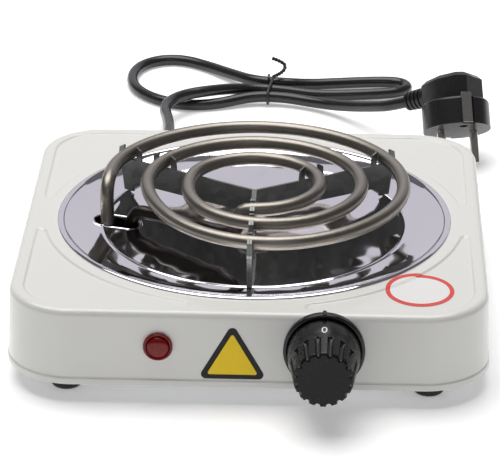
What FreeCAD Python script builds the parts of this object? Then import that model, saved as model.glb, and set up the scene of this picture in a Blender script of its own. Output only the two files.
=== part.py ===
import FreeCAD, Part
import math
import os

os.makedirs("parts", exist_ok=True)

V = FreeCAD.Vector
X_AXIS = V(1, 0, 0)
Y_AXIS = V(0, 1, 0)
Z_AXIS = V(0, 0, 1)
FORWARD = V(0, -1, 0)

# Single-burner electric hot plate, in millimetres. +Z is up, -Y is the front with the knob.
# Pieces are drawn about the burner's own axis, standing on z = 0, and then moved along Y so
# that the origin is under the middle of the casing and knob.

# casing
body_width = 225.0
body_depth = 225.0
wall_height = 36.7
foot_height = 9.0
corner_radius = 32.0
lean = 1.1
sheet = 0.8
hem_height = 3.2
hem_step = 0.4
top_edge_radius = 3.0
pad_depth = 0.8
pad_margin = 6.2
pad_ring_gap = 5.7
pad_tip_radius = 2.2
pad_tip_x = 26.0
pad_tip_y = 18.0

# base plate, lugs and feet
base_recess = 0.6
base_sheet = 0.8
base_clearance = 0.5
vent_length = 26.0
vent_width = 3.0
vent_pitch = 9.0
vent_count = 6
vent_centre_y = -30.0
vent_x = 30.0
lug_width = 16.0
lug_reach = 12.0
lug_height = 13.0
lug_sheet = 1.2
foot_radius = 7.5
foot_edge_radius = 2.6
foot_x = 84.0
foot_y = 94.0
screw_shank = 1.6
screw_head = 3.1
screw_head_height = 2.0
screw_clearance = 0.05

# drip pan
pan_radius = 95.8
pan_rim_width = 3.2
pan_rim_rise = 1.0
pan_sheet = 0.5
pan_bead_radius = 73.6
pan_bead_drop = 3.6
pan_dish_drop = 8.6
pan_hole_length = 23.0
pan_hole_width = 14.0
pan_hole_x = -67.0
pan_hole_lip = 1.2
pan_hole_lip_drop = 1.4
pan_fit = 0.5

# heating coil
tube_diameter = 6.6
coil_rise = 17.3
coil_outer_radius = 72.4
coil_pitch = 20.4
coil_turn_start = (250.0, 595.0)
coil_turn_end = (345.0, 722.0)
coil_spiral_end = 978.0
coil_step = 18.0
coil_outer_leg_x = -71.4
coil_outer_leg_y = -3.2
coil_inner_leg_x = -61.6
coil_inner_leg_y = 1.4
coil_return_rise = 3.6
cold_end_height = 25.0
bead_length = 4.0
bead_radius = 3.0
pin_radius = 1.25
pin_length = 12.0

# spider that carries the coil
strip = 1.2
blade_height = 12.6
blade_gap = 0.1
arm_angles = (150.0, 30.0)
arm_reach = 77.0
leg_outer_radius = 76.0
leg_inner_radius = 70.4
prong_width = 3.1
prong_gap = 0.5
prong_rise = 6.4
prong_lip = 0.7
rivet_radius = 1.4
rivet_head_radius = 2.3
rivet_head = 0.9

# knob, dial ring and heat regulator
knob_x = 35.4
knob_axis_height = 19.9
ring_border = 2.0
ring_thickness = 2.6
ring_bore = 4.9
knob_gap = 0.7
knob_reach = 31.0
knob_skirt_radius = 16.7
knob_grip_radius = 15.6
knob_nose_radius = 13.4
knob_skirt_length = 14.0
knob_nose_round = 1.4
stem_setback = 1.6
stem_radius = 5.6
flute_count = 16
flute_radius = 1.9
flute_depth = 1.15
shaft_radius = 3.0
shaft_fit = 0.05
shaft_flat = 1.0
bush_radius = 4.8
bush_nut_radius = 7.0
bush_nut_height = 2.2
knob_range = 285.0
case_width = 30.0
case_height = 25.0
case_depth = 22.0
case_wall = 1.6
bracket_sheet = 1.0
bracket_width = 34.0
bracket_height = 30.0
cam_radius = 4.6
cam_rise = 1.2
cam_length = 3.0
follower_arm = 8.4
follower_gap = 0.2
follower_width = 3.4
contact_reach = 1.6
pivot_radius = 1.0
pivot_fit = 0.05

# indicator lamp
lamp_x = -40.4
lamp_axis_height = 20.1
lamp_rim_radius = 6.75
lamp_rim_thickness = 1.6
lamp_dome = 1.6
lamp_barrel_radius = 5.2
lamp_barrel_length = 22.0
lamp_wall = 0.9
bulb_radius = 2.6
bulb_length = 13.0
lead_diameter = 1.4

# terminal block and wiring
block_length = 32.0
block_depth = 13.0
block_height = 9.0
block_pin_clearance = 0.15
wire_diameter = 2.4
shield_radius = 52.0
shield_sheet = 0.6
shield_height = 27.5
shield_leg = 8.0

# labels
label_thickness = 0.12
triangle_x = -6.4
triangle_height = 27.8
triangle_side = 32.0
triangle_base_height = 4.4
oval_x = 79.1
oval_y = -80.3
oval_width = 32.0
oval_length = 34.7

# mains cord, its sleeve and its plug
cord_diameter = 6.4
cord_x = -51.0
cord_exit_height = 10.6
sleeve_length = 30.0
sleeve_inner = 6.0
sleeve_neck_wall = 1.9
sleeve_fit = 0.3
tie_wire = 1.5
tie_gap = 0.4
face_centre = V(105.7, 183.0, 18.5)
plug_tilt = 54.0
plug_roll = 12.0
plug_yaw = 8.3
plug_radius = 18.5
plug_disc = 15.5
plug_depth = 30.0
plug_block_width = 25.0
plug_cord_angle = 53.8
plug_cord_back = 22.5
boot_reach = 30.0
boot_radius = 5.6
plug_pin_radius = 2.4
plug_pin_length = 19.0
plug_tip_radius = 1.2
plug_root_radius = 1.9
plug_root_length = 10.0
plug_pin_spacing = 19.0
clip_width = 6.0
clip_sheet = 0.8
earth_hole_offset = 10.0
earth_hole_radius = 2.4

# derived heights and places
hem_z = foot_height
top_z = hem_z + wall_height
knob_z = hem_z + knob_axis_height
lamp_z = hem_z + lamp_axis_height
cord_exit_z = hem_z + cord_exit_height
base_z = hem_z + base_recess
floor_z = base_z + base_sheet
coil_z = top_z + coil_rise
tube_radius = tube_diameter / 2
coil_under_z = coil_z - tube_radius
blade_top_z = coil_under_z - blade_gap
blade_bottom_z = blade_top_z - blade_height
ring_inner_radius = pan_radius - pan_rim_width
ring_radius = knob_skirt_radius + ring_border
lean_rate = lean / wall_height
front_wall_y = -(body_depth / 2 - hem_step - lean_rate * knob_axis_height)
back_wall_y = body_depth / 2 - hem_step - lean_rate * cord_exit_height
knob_front_y = front_wall_y - knob_reach
shift_y = -(knob_front_y + body_depth / 2) / 2
knob_back_y = front_wall_y - ring_thickness - knob_gap
case_front_y = front_wall_y + sheet + bracket_sheet
case_back_y = case_front_y + case_depth
ROUTE_SHARE = 0.45


def save(name, shape):
    """Move a piece from the burner's axis to the row's origin and write it."""
    placed = shape.copy()
    placed.translate(V(0, shift_y, 0))
    placed.exportStep("parts/" + name + ".step")


def group(shapes):
    """Several separate solids that share one node."""
    return Part.makeCompound(shapes)


def tube_between(start, end, radius):
    """A round bar from one point to another."""
    run = end - start
    return Part.makeCylinder(radius, run.Length, start, run)


def box_about(cx, cy, z0, width, depth, height):
    """A block centred on (cx, cy) that stands on z0."""
    return Part.makeBox(width, depth, height, V(cx - width / 2, cy - depth / 2, z0))


def prism(points, direction):
    """A flat outline pushed along a direction."""
    face = Part.Face(Part.makePolygon(points + [points[0]]))
    return face.extrude(direction)


def turned(outline, origin, axis_rotation=None):
    """A solid of revolution about +Z from (radius, height) points, then turned and placed."""
    points = [V(r, 0, h) for r, h in outline]
    face = Part.Face(Part.makePolygon(points + [points[0]]))
    solid = face.revolve(V(0, 0, 0), Z_AXIS, 360)
    if axis_rotation is not None:
        solid.Placement = FreeCAD.Placement(V(0, 0, 0), axis_rotation)
    solid.translate(origin)
    return solid


def knob_axis_at(y):
    """A point on the axis of the knob and its shaft."""
    return V(knob_x, y, knob_z)


def lamp_axis_at(y):
    """A point on the axis of the indicator lamp."""
    return V(lamp_x, y, lamp_z)


TO_FRONT = FreeCAD.Rotation(X_AXIS, 90)
TO_BACK = FreeCAD.Rotation(X_AXIS, -90)


def level_arc(centre, radius, a0, a1, z):
    """A horizontal arc from angle a0 to a1 in degrees."""
    def at(a):
        t = math.radians(a)
        return V(centre[0] + radius * math.cos(t), centre[1] + radius * math.sin(t), z)
    return Part.Arc(at(a0), at((a0 + a1) / 2), at(a1)).toShape()


def rounded_outline(half_x, half_y, radius, z):
    """A rectangle with round corners as a closed wire at height z."""
    cx = half_x - radius
    cy = half_y - radius
    corners = ((cx, cy, 0.0), (-cx, cy, 90.0), (-cx, -cy, 180.0), (cx, -cy, 270.0))
    edges = []
    for k in range(4):
        x, y, a = corners[k]
        arc = level_arc((x, y), radius, a, a + 90.0, z)
        following = corners[(k + 1) % 4]
        t = math.radians(a + 90.0)
        start = V(x + radius * math.cos(t), y + radius * math.sin(t), z)
        end = V(following[0] + radius * math.cos(t), following[1] + radius * math.sin(t), z)
        edges.append(arc)
        edges.append(Part.LineSegment(start, end).toShape())
    return Part.Wire(edges)


def casing_form(inset, z0, z1, edge_radius):
    """The casing's leaning block, inset from its outer face, with a rounded top edge."""
    wires = []
    for z in (z0, z1):
        inward = hem_step + inset + lean_rate * (z - hem_z)
        half_x = body_width / 2 - inward
        half_y = body_depth / 2 - inward
        wires.append(rounded_outline(half_x, half_y, corner_radius - inward, z))
    block = Part.makeLoft(wires, True, True)
    top_edges = [e for e in block.Edges if e.BoundBox.ZMin > z1 - 0.01]
    if edge_radius > 0:
        block = block.makeFillet(edge_radius, top_edges)
    return block


def rounded_route(points):
    """Straight runs joined by tangent arcs, each as large as its two runs allow."""
    edges = []
    radii = []
    length = 0.0
    start = points[0]
    for k in range(1, len(points) - 1):
        corner = points[k]
        before = corner - points[k - 1]
        after = points[k + 1] - corner
        cut = ROUTE_SHARE * min(before.Length, after.Length)
        turn = before.getAngle(after)
        radius = cut / math.tan(turn / 2)
        u = V(before).normalize()
        w = V(after).normalize()
        arc_start = corner - u * cut
        arc_end = corner + w * cut
        inward = (w - u).normalize()
        centre = corner + inward * (radius / math.cos(turn / 2))
        middle = centre - inward * radius
        edges.append(Part.LineSegment(start, arc_start).toShape())
        edges.append(Part.Arc(arc_start, middle, arc_end).toShape())
        length += (arc_start - start).Length + radius * turn
        radii.append(radius)
        start = arc_end
    edges.append(Part.LineSegment(start, points[-1]).toShape())
    length += (points[-1] - start).Length
    return Part.Wire(edges), radii, length


def tube(points, diameter):
    """A round tube along a rounded route."""
    wire = rounded_route(points)[0]
    ring = Part.Wire(Part.makeCircle(diameter / 2, points[0], points[1] - points[0]))
    return wire.makePipeShell([ring], True, True)


def reported_tube(name, points, diameter):
    """A tube, after printing its bend radii and its volume against section times length."""
    solid = tube(points, diameter)
    radii, length = rounded_route(points)[1:]
    expected = math.pi * (diameter / 2) ** 2 * length
    print(name, "length", round(length, 1), "volume ratio", round(solid.Volume / expected, 4))
    print("  radii", [round(r, 1) for r in radii])
    return solid


def casing_outside():
    """Everything inside the casing's outer face and hem, used to seat what stands on the walls."""
    hem = Part.Face(rounded_outline(body_width / 2, body_depth / 2, corner_radius, hem_z))
    return casing_form(0.0, hem_z, top_z, top_edge_radius).fuse(hem.extrude(V(0, 0, hem_height)))


def casing_inside():
    """The space inside the casing's walls."""
    return casing_form(sheet, hem_z - 2.0, top_z - sheet, top_edge_radius - sheet)


def corner_pad(z0, height, grow):
    """The outline of one pressed corner pad, at +X +Y, as a prism."""
    half_x = body_width / 2 - hem_step - lean - pad_margin + grow
    half_y = body_depth / 2 - hem_step - lean - pad_margin + grow
    radius = corner_radius - hem_step - lean - pad_margin + grow
    face = Part.Face(rounded_outline(half_x, half_y, radius, z0))
    slab = face.extrude(V(0, 0, height))
    ring = Part.makeCylinder(pan_radius + pad_ring_gap - grow, height, V(0, 0, z0))
    x0 = pad_tip_x - grow
    y0 = pad_tip_y - grow
    window = Part.makeBox(body_width, body_depth, height, V(x0, y0, z0))
    pad = slab.cut(ring).common(window)
    tips = []
    for edge in pad.Edges:
        box = edge.BoundBox
        upright = box.ZLength > height - 0.01
        at_tip = box.XMax < x0 + 0.01 or box.YMax < y0 + 0.01
        if upright and at_tip:
            tips.append(edge)
    return pad.makeFillet(pad_tip_radius, tips)


def four_ways(shape):
    """A shape and its mirror images across X and Y."""
    across = shape.mirror(V(0, 0, 0), X_AXIS)
    pair = [shape, across]
    return pair + [s.mirror(V(0, 0, 0), Y_AXIS) for s in pair]


def cord_hole_radius():
    """The hole that the sleeve's neck fills, clear of the hem below it."""
    return cord_diameter / 2 + sleeve_neck_wall


def top_shell(outside, inside):
    """Pressed steel casing: top, four leaning walls, folded hem, corner pads and openings."""
    shell = outside.cut(inside)
    shell = shell.fuse(four_ways(corner_pad(top_z - pad_depth - sheet, sheet + pad_depth / 2, sheet)))
    shell = shell.cut(group(four_ways(corner_pad(top_z - pad_depth, pad_depth + 1.0, 0.0))))
    reach = 20.0
    outside_y = front_wall_y - reach / 2
    holes = [
        Part.makeCylinder(ring_inner_radius + pan_fit, reach, V(0, 0, top_z - reach / 2)),
        Part.makeCylinder(bush_radius + 0.2, reach, knob_axis_at(outside_y), Y_AXIS),
        Part.makeCylinder(lamp_barrel_radius + 0.2, reach, lamp_axis_at(outside_y), Y_AXIS),
        Part.makeCylinder(cord_hole_radius(), reach, V(cord_x, back_wall_y - reach / 2, cord_exit_z), Y_AXIS),
    ]
    return shell.cut(group(holes)).removeSplitter()


def lug_places():
    """Middle of each wall's inner face at the base plate, with the direction inwards."""
    inward = hem_step + sheet + lean_rate * (floor_z - hem_z)
    x = body_width / 2 - inward
    y = body_depth / 2 - inward
    return ((x, 0.0, 180.0), (0.0, y, 270.0), (-x, 0.0, 0.0), (0.0, -y, 90.0))


def screw_holes(radius, z0, height):
    """Upright holes through the base plate at the lugs, the feet and the terminal block."""
    holes = []
    for x, y, a in lug_places():
        t = math.radians(a)
        along = lug_reach * 0.6
        centre = V(x + along * math.cos(t), y + along * math.sin(t), z0)
        holes.append(Part.makeCylinder(radius, height, centre))
    return holes


def foot_places():
    return [V(sx * foot_x, sy * foot_y, 0) for sx in (-1, 1) for sy in (-1, 1)]


def base_plate():
    """Flat steel bottom with vent slots and screw holes, set just inside the hem."""
    inward = hem_step + sheet + base_clearance
    half_x = body_width / 2 - inward
    half_y = body_depth / 2 - inward
    plate = Part.Face(rounded_outline(half_x, half_y, corner_radius - inward, base_z))
    plate = plate.extrude(V(0, 0, base_sheet))
    cutters = screw_holes(screw_shank + screw_clearance, base_z - 1, 4.0)
    for place in foot_places():
        cutters.append(Part.makeCylinder(screw_shank + screw_clearance, 4.0, place + V(0, 0, base_z - 1)))
    for side in (-1, 1):
        for k in range(vent_count):
            y = vent_centre_y + (k - (vent_count - 1) / 2) * vent_pitch
            slot = box_about(side * vent_x, y, base_z - 1, vent_length, vent_width, 4.0)
            cutters.append(slot)
    return plate.cut(group(cutters))


def fixing_lugs(inside):
    """Four angle brackets, spot welded to the walls, that the base plate screws into."""
    lugs = []
    for x, y, a in lug_places():
        turn = FreeCAD.Rotation(Z_AXIS, a)
        upright = Part.makeBox(lug_sheet + 2.0, lug_width, lug_height, V(-2.0, -lug_width / 2, 0))
        ledge = Part.makeBox(lug_reach + 2.0, lug_width, lug_sheet, V(-2.0, -lug_width / 2, 0))
        lug = upright.fuse(ledge)
        lug.Placement = FreeCAD.Placement(V(x, y, floor_z), turn)
        lugs.append(lug.common(inside))
    holes = group(screw_holes(screw_shank + screw_clearance, floor_z - 1, 5.0))
    return group([lug.cut(holes).Solids[0] for lug in lugs])


def screw(place, length, head_radius, shank_radius):
    """A pan-head screw pointing up, with a cross slot, its head's top face at the place."""
    head = turned([(0, -screw_head_height), (head_radius * 0.8, -screw_head_height),
                   (head_radius, -screw_head_height * 0.4), (head_radius, 0), (0, 0)], place)
    body = head.fuse(Part.makeCylinder(shank_radius, length, place))
    slots = [box_about(place.x, place.y, place.z - screw_head_height, head_radius * 1.2, 0.7, 0.9),
             box_about(place.x, place.y, place.z - screw_head_height, 0.7, head_radius * 1.2, 0.9)]
    return body.cut(group(slots)).removeSplitter()


def base_screws():
    """Self-tapping screws through the base plate into the lugs."""
    screws = []
    for x, y, a in lug_places():
        t = math.radians(a)
        along = lug_reach * 0.6
        place = V(x + along * math.cos(t), y + along * math.sin(t), base_z)
        screws.append(screw(place, 6.0, screw_head, screw_shank))
    return group(screws)


def foot(place):
    """A rubber foot: a short dome with a recess for its screw."""
    dome = Part.makeCylinder(foot_radius, base_z, place)
    low_edges = [e for e in dome.Edges if e.BoundBox.ZMax < place.z + 0.01]
    dome = dome.makeFillet(foot_edge_radius, low_edges)
    recess = Part.makeCylinder(screw_head + 0.4, foot_screw_z() + 0.01, place)
    bore = Part.makeCylinder(screw_shank + screw_clearance, base_z + 1, place)
    return dome.cut(recess).cut(bore)


def foot_screw_z():
    """Height of the ledge inside a foot that the screw head bears on."""
    return 5.0


def foot_screws():
    """Screws that hold the feet to the base plate."""
    return group([screw(p + V(0, 0, foot_screw_z()), base_z + base_sheet + 3.0 - foot_screw_z(),
                        screw_head, screw_shank) for p in foot_places()])


def pan_floor_height(radius):
    """Height of the pan's upper face at a radius: cone outside the bead, dish inside it."""
    bead_z = top_z - pan_bead_drop
    if radius >= pan_bead_radius:
        share = (radius - pan_bead_radius) / (ring_inner_radius - pan_bead_radius)
        return bead_z + share * (top_z - 0.1 - bead_z)
    depth = pan_dish_drop - pan_bead_drop
    return bead_z - depth * (1 - (radius / pan_bead_radius) ** 2)


def drip_pan():
    """Chromed drip pan: rolled rim on the casing, cone, dish and a lipped oval hole."""
    crown = top_z + pan_rim_rise
    rim_mid = pan_radius - pan_rim_width / 2
    upper = [(pan_radius, top_z + 0.25), (pan_radius - 0.35, top_z + 0.75), (rim_mid + 0.5, crown),
             (rim_mid - 0.6, crown - 0.1), (ring_inner_radius + 0.1, top_z + 0.35),
             (ring_inner_radius - 0.6, pan_floor_height(ring_inner_radius - 0.6))]
    for k in range(1, 3):
        r = ring_inner_radius - k * (ring_inner_radius - pan_bead_radius) / 3
        upper.append((r, pan_floor_height(r)))
    upper += [(pan_bead_radius + 0.9, pan_floor_height(pan_bead_radius + 0.9)),
              (pan_bead_radius + 0.3, pan_floor_height(pan_bead_radius) + 0.45),
              (pan_bead_radius - 0.4, pan_floor_height(pan_bead_radius) + 0.4),
              (pan_bead_radius - 1.0, pan_floor_height(pan_bead_radius - 1.0))]
    for k in range(1, 12):
        r = (pan_bead_radius - 1.0) * (1 - k / 12)
        upper.append((r, pan_floor_height(r)))
    upper.append((0, pan_floor_height(0)))
    under = [(r, h - pan_sheet) for r, h in upper if r < ring_inner_radius]
    rim_under = [(ring_inner_radius + 0.1, top_z), (pan_radius - 0.1, top_z)]
    pan = turned(upper + list(reversed(under)) + rim_under, V(0, 0, 0))
    hole = oval_prism(pan_hole_length, pan_hole_width, top_z - 20, 25.0)
    lip_z = pan_floor_height(abs(pan_hole_x) + pan_hole_length / 2 - 2.0)
    low_z = pan_floor_height(abs(pan_hole_x) - pan_hole_length / 2) - pan_sheet - pan_hole_lip_drop
    around_hole = 2 * pan_hole_lip
    collar = oval_prism(pan_hole_length + around_hole, pan_hole_width + around_hole, low_z, lip_z - low_z)
    above = turned([(r, h) for r, h in upper if r < ring_inner_radius] + [(0, top_z + 30),
                   (ring_inner_radius - 0.6, top_z + 30)], V(0, 0, 0))
    return pan.fuse(collar.cut(above)).cut(hole).removeSplitter()


def oval_prism(length, width, z0, height):
    """A slot-shaped prism at the pan's hole, long side along X."""
    bar = box_about(pan_hole_x, 0, z0, length - width, width, height)
    ends = [Part.makeCylinder(width / 2, height, V(pan_hole_x + s * (length - width) / 2, 0, z0))
            for s in (-1, 1)]
    return bar.fuse(ends).removeSplitter()


def turn_radius(travel):
    """Coil radius after a travel in degrees, clockwise from -X: flat turns with smooth shifts in."""
    radius = coil_outer_radius
    for start, end in zip(coil_turn_start, coil_turn_end):
        share = min(max((travel - start) / (end - start), 0.0), 1.0)
        radius -= coil_pitch * share * share * (3 - 2 * share)
    return radius


def coil_point(travel):
    """A corner of the coil's route, set out so that its chords run at the turn's radius."""
    t = math.radians(180.0 - travel)
    radius = turn_radius(travel) / math.cos(math.radians(coil_step / 2))
    return V(radius * math.cos(t), radius * math.sin(t), coil_z)


def coil_route():
    """Up through the pan, three turns inwards, then down and back under to the pan's hole."""
    route = [V(coil_outer_leg_x, coil_outer_leg_y, cold_end_height),
             V(coil_outer_leg_x, coil_outer_leg_y, cold_end_height + 18.0),
             V(coil_outer_leg_x - 0.3, coil_outer_leg_y - 0.2, coil_z)]
    steps = round((coil_spiral_end - coil_step) / coil_step)
    for k in range(steps + 1):
        route.append(coil_point(coil_step + k * (coil_spiral_end - coil_step) / steps))
    low = blade_bottom_z + coil_return_rise - tube_radius
    route += [V(-6.8, -32.0, coil_z), V(-6.8, -30.5, low + 3.0), V(-16.0, -24.5, low),
              V(-30.0, -15.5, low), V(-46.0, -6.5, low),
              V(coil_inner_leg_x, coil_inner_leg_y, low - 0.4),
              V(coil_inner_leg_x, coil_inner_leg_y, cold_end_height)]
    return route


def leg_places():
    """Where the coil's two cold ends stand."""
    return (V(coil_outer_leg_x, coil_outer_leg_y, cold_end_height),
            V(coil_inner_leg_x, coil_inner_leg_y, cold_end_height))


def coil_beads():
    """Ceramic beads that close the two cold ends round their pins."""
    beads = []
    for place in leg_places():
        bead = Part.makeCylinder(bead_radius, bead_length, place - V(0, 0, bead_length))
        beads.append(bead.cut(Part.makeCylinder(pin_radius, bead_length, place - V(0, 0, bead_length))))
    return group(beads)


def coil_pins():
    """Terminal pins below the beads."""
    return group([Part.makeCylinder(pin_radius, pin_length, p - V(0, 0, pin_length)) for p in leg_places()])


def arm_frame(angle):
    """Placement that lays local +X along an arm, with +Z up."""
    return FreeCAD.Placement(V(0, 0, 0), FreeCAD.Rotation(Z_AXIS, angle))


def coil_radii_at(angle, turns):
    """Radii at which the chosen turns of the coil cross an arm."""
    travel = (180.0 - angle) % 360.0
    return [turn_radius(travel + 360.0 * k) for k in turns]


def blade_outline(seats):
    """Side view of one arm: blade, leg to the pan and a pair of prongs at every seat."""
    foot_z = pan_floor_height(leg_inner_radius)
    leg_z = pan_floor_height(leg_outer_radius)
    foot_low = max(foot_z, leg_z) + 0.1
    lower = [(0, blade_bottom_z), (leg_inner_radius - 4.0, blade_bottom_z),
             (leg_inner_radius, foot_low + 1.5), (leg_inner_radius, foot_low), (leg_outer_radius, foot_low),
             (arm_reach, blade_bottom_z + 3.0), (arm_reach + 2.0, blade_top_z - 1.0)]
    upper = []
    for r in sorted(seats, reverse=True):
        for side in (1, -1):
            near = r + side * (tube_radius + prong_gap)
            far = near + side * prong_width
            lip = near - side * prong_lip
            prong = [(far, blade_top_z), (far - side * 0.5, blade_top_z + prong_rise - 1.0),
                     (lip + side * 0.7, blade_top_z + prong_rise + 0.6), (lip, blade_top_z + prong_rise),
                     (near, blade_top_z + prong_rise - 2.6), (near, blade_top_z)]
            upper += prong if side == 1 else list(reversed(prong))
    return lower + upper + [(0, blade_top_z)]


def blade(angle, seats, offset):
    """One flat arm of a strip, from the centre outwards, offset sideways from the arm's line."""
    points = [V(r, offset, h) for r, h in blade_outline(seats)]
    arm = prism(points, V(0, strip, 0))
    arm.Placement = arm_frame(angle)
    return arm


def spider_strip(side, back_angle, back_turns):
    """A strip bent in the middle: one back arm and half of the doubled front arm."""
    front_seats = coil_radii_at(-90.0, (0, 1, 2))
    front_offset = 0.0 if side > 0 else -strip
    front = blade(-90.0, front_seats, front_offset)
    back = blade(back_angle, coil_radii_at(back_angle, back_turns), -strip / 2)
    half = Part.makeBox(200, 400, 200, V(0 if side > 0 else -200, -200, 0))
    bent = front.fuse(back).common(half).removeSplitter()
    holes = group([Part.makeCylinder(rivet_radius, 10, V(-5, y, rivet_z()), X_AXIS) for y in rivet_places()])
    return bent.cut(holes)


def rivet_places():
    return (-32.0, -62.0)


def rivet_z():
    return blade_bottom_z + blade_height * 0.45


def spider_rivets():
    """Rivets that clamp the two strips together along the front arm."""
    rivets = []
    for y in rivet_places():
        shank = Part.makeCylinder(rivet_radius, 2 * strip, V(-strip, y, rivet_z()), X_AXIS)
        heads = []
        for side in (-1, 1):
            start = V(side * strip, y, rivet_z())
            heads.append(Part.makeCone(rivet_head_radius, rivet_head_radius * 0.6, rivet_head, start,
                                       V(side, 0, 0)))
        rivets.append(shank.fuse(heads).removeSplitter())
    return group(rivets)


def dial_ring(outside):
    """Fixed ring round the knob with a raised mark at the top."""
    r = ring_radius
    t = ring_thickness
    lip = 1.6
    outline = [(ring_bore, -4), (r, -4), (r, t - 0.7), (r - 0.7, t), (r - lip, t), (r - lip - 0.5, t - 0.6),
               (r - lip - 0.5, 1.2), (ring_bore, 1.2)]
    ring = turned(outline, V(knob_x, front_wall_y, knob_z), TO_FRONT)
    mark = Part.makeCylinder(1.0, 6.5 + t, V(knob_x, front_wall_y + 6.0, knob_z + r + 0.4), V(0, -1, 0))
    tip = Part.makeSphere(1.0, V(knob_x, front_wall_y - t - 0.5, knob_z + r + 0.4))
    return ring.fuse([mark, tip]).cut(outside).Solids[0]


def flat_z():
    """Height of the flat on the shaft."""
    return knob_z + shaft_radius - shaft_flat


def knob_bore():
    """The knob's D-shaped socket for the shaft."""
    depth = 17.0
    start = V(knob_x, knob_back_y + 0.01, knob_z)
    bore = Part.makeCylinder(shaft_radius + shaft_fit, depth, start, V(0, -1, 0))
    flat = Part.makeBox(10, depth, 4, V(knob_x - 5, start.y - depth, flat_z() + shaft_fit))
    return bore.cut(flat)


def knob_profile():
    """Radius and reach of the knob's outside, from its back edge to the middle of its face."""
    reach = knob_reach - ring_thickness - knob_gap
    skirt = knob_skirt_length - ring_thickness - knob_gap
    profile = [(knob_skirt_radius, 0)]
    for k in range(1, 5):
        share = k / 4
        drop = (knob_skirt_radius - knob_grip_radius) * share ** 2
        profile.append((knob_skirt_radius - drop, skirt * share))
    profile.append((knob_nose_radius + 0.35, reach - knob_nose_round))
    for k in range(1, 4):
        t = math.radians(30.0 * k)
        r = knob_nose_radius - knob_nose_round * (1 - math.cos(t))
        profile.append((r, reach - knob_nose_round * (1 - math.sin(t))))
    return profile + [(0, reach)]


def knob():
    """Moulded control knob: smooth skirt, fluted grip, flat face and a hollow back with a stem."""
    outer = knob_profile()
    hollow_depth = 9.0
    wall = 1.8
    inner = [(0, hollow_depth), (knob_skirt_radius - wall - 0.6, hollow_depth), (knob_skirt_radius - wall, 0)]
    body = turned(outer + inner, V(knob_x, knob_back_y, knob_z), TO_FRONT)
    stem_length = hollow_depth + 0.5 - stem_setback
    stem = Part.makeCylinder(stem_radius, stem_length, knob_axis_at(knob_back_y - stem_setback), FORWARD)
    body = body.fuse(stem)
    reach = knob_reach - ring_thickness - knob_gap
    start = knob_skirt_length - ring_thickness - knob_gap
    for k in range(flute_count):
        t = 2 * math.pi * (k + 0.5) / flute_count
        out = V(math.cos(t), 0, math.sin(t))
        near = knob_grip_radius + flute_radius - flute_depth * 0.8
        far = knob_nose_radius + flute_radius - flute_depth
        a = V(knob_x, knob_back_y - start - 2.0, knob_z) + out * near
        b = V(knob_x, knob_back_y - reach - 2.0, knob_z) + out * far
        body = body.cut(tube_between(a, b, flute_radius).fuse(Part.makeSphere(flute_radius, a)))
    return body.cut(knob_bore()).cut(clip_space()).removeSplitter()


def clip_space():
    """Slot in the stem above the shaft's flat for the spring clip."""
    return Part.makeBox(4.2, 8.0, 0.8, V(knob_x - 2.1, knob_back_y - 9.0, flat_z() + shaft_fit))


def knob_clip():
    """Leaf spring that grips the shaft's flat."""
    return Part.makeBox(4.0, 6.8, 0.5, V(knob_x - 2.0, knob_back_y - 8.8, flat_z() + 0.1))


def regulator_shaft():
    """Brass shaft from the cam to the knob, with a flat at the knob's end."""
    end_y = knob_back_y - 16.5
    start_y = case_front_y + 12.0
    bar = Part.makeCylinder(shaft_radius, start_y - end_y, knob_axis_at(start_y), FORWARD)
    flat_start = knob_back_y + 0.2
    flat = Part.makeBox(10, flat_start - end_y + 1, 4, V(knob_x - 5, end_y - 1, flat_z()))
    return bar.cut(flat)


def cam_radius_at(angle):
    """Cam radius at an angle in degrees, counter-clockwise from +X seen from the front."""
    full = knob_range + 15.0
    if angle <= full:
        return cam_radius + cam_rise * angle / knob_range
    share = (angle - full) / (360.0 - full)
    return cam_radius + cam_rise * full / knob_range * (1 - share)


def regulator_cam():
    """Snail cam pressed on the shaft: it rises evenly over the knob's travel."""
    points = []
    for k in range(48):
        a = 7.5 * k
        t = math.radians(a)
        r = cam_radius_at(a)
        points.append(V(knob_x + r * math.cos(t), cam_y(), knob_z + r * math.sin(t)))
    disc = prism(points, V(0, cam_length, 0))
    return disc.cut(Part.makeCylinder(shaft_radius, 20, V(knob_x, cam_y() - 5, knob_z), Y_AXIS))


def cam_y():
    return case_front_y + 7.5


def pivot_place():
    """Centre of the follower's pivot pin, right of the cam and below it."""
    return V(knob_x + cam_radius + follower_gap + follower_width / 2 + 0.4, cam_y(), knob_z - follower_arm)


def cam_follower():
    """Lever that rides on the cam and carries the moving contact."""
    pivot = pivot_place()
    half = follower_width / 2
    left = knob_x + cam_radius + follower_gap
    hub = Part.makeCylinder(half + 0.4, cam_length, pivot, Y_AXIS)
    nose = Part.makeCylinder(1.2, cam_length, V(left + 1.2, pivot.y, knob_z), Y_AXIS)
    outline = [V(pivot.x - half + 0.6, pivot.y, pivot.z), V(pivot.x + half, pivot.y, pivot.z),
               V(pivot.x + half - 0.3, pivot.y, knob_z + 9.0), V(pivot.x - 0.6, pivot.y, knob_z + 9.0),
               V(left + 1.6, pivot.y, knob_z + 1.1), V(left + 1.6, pivot.y, knob_z - 1.1)]
    arm = prism(outline, V(0, cam_length, 0))
    bore = Part.makeCylinder(pivot_radius + pivot_fit, 20, pivot - V(0, 5, 0), Y_AXIS)
    return hub.fuse([nose, arm]).removeSplitter().cut(bore)


def moving_contact():
    """Silver contact on the lever's upper end."""
    pivot = pivot_place()
    right = pivot.x + follower_width / 2 - 0.3
    return Part.makeCylinder(1.3, 0.8, V(right + 0.08, cam_y() + cam_length / 2, knob_z + 7.4), X_AXIS)


def pivot_pin():
    """Steel pin across the regulator case that the lever turns on."""
    pivot = pivot_place()
    length = case_depth - case_wall
    return Part.makeCylinder(pivot_radius, length, V(pivot.x, case_front_y + case_wall, pivot.z), Y_AXIS)


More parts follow.
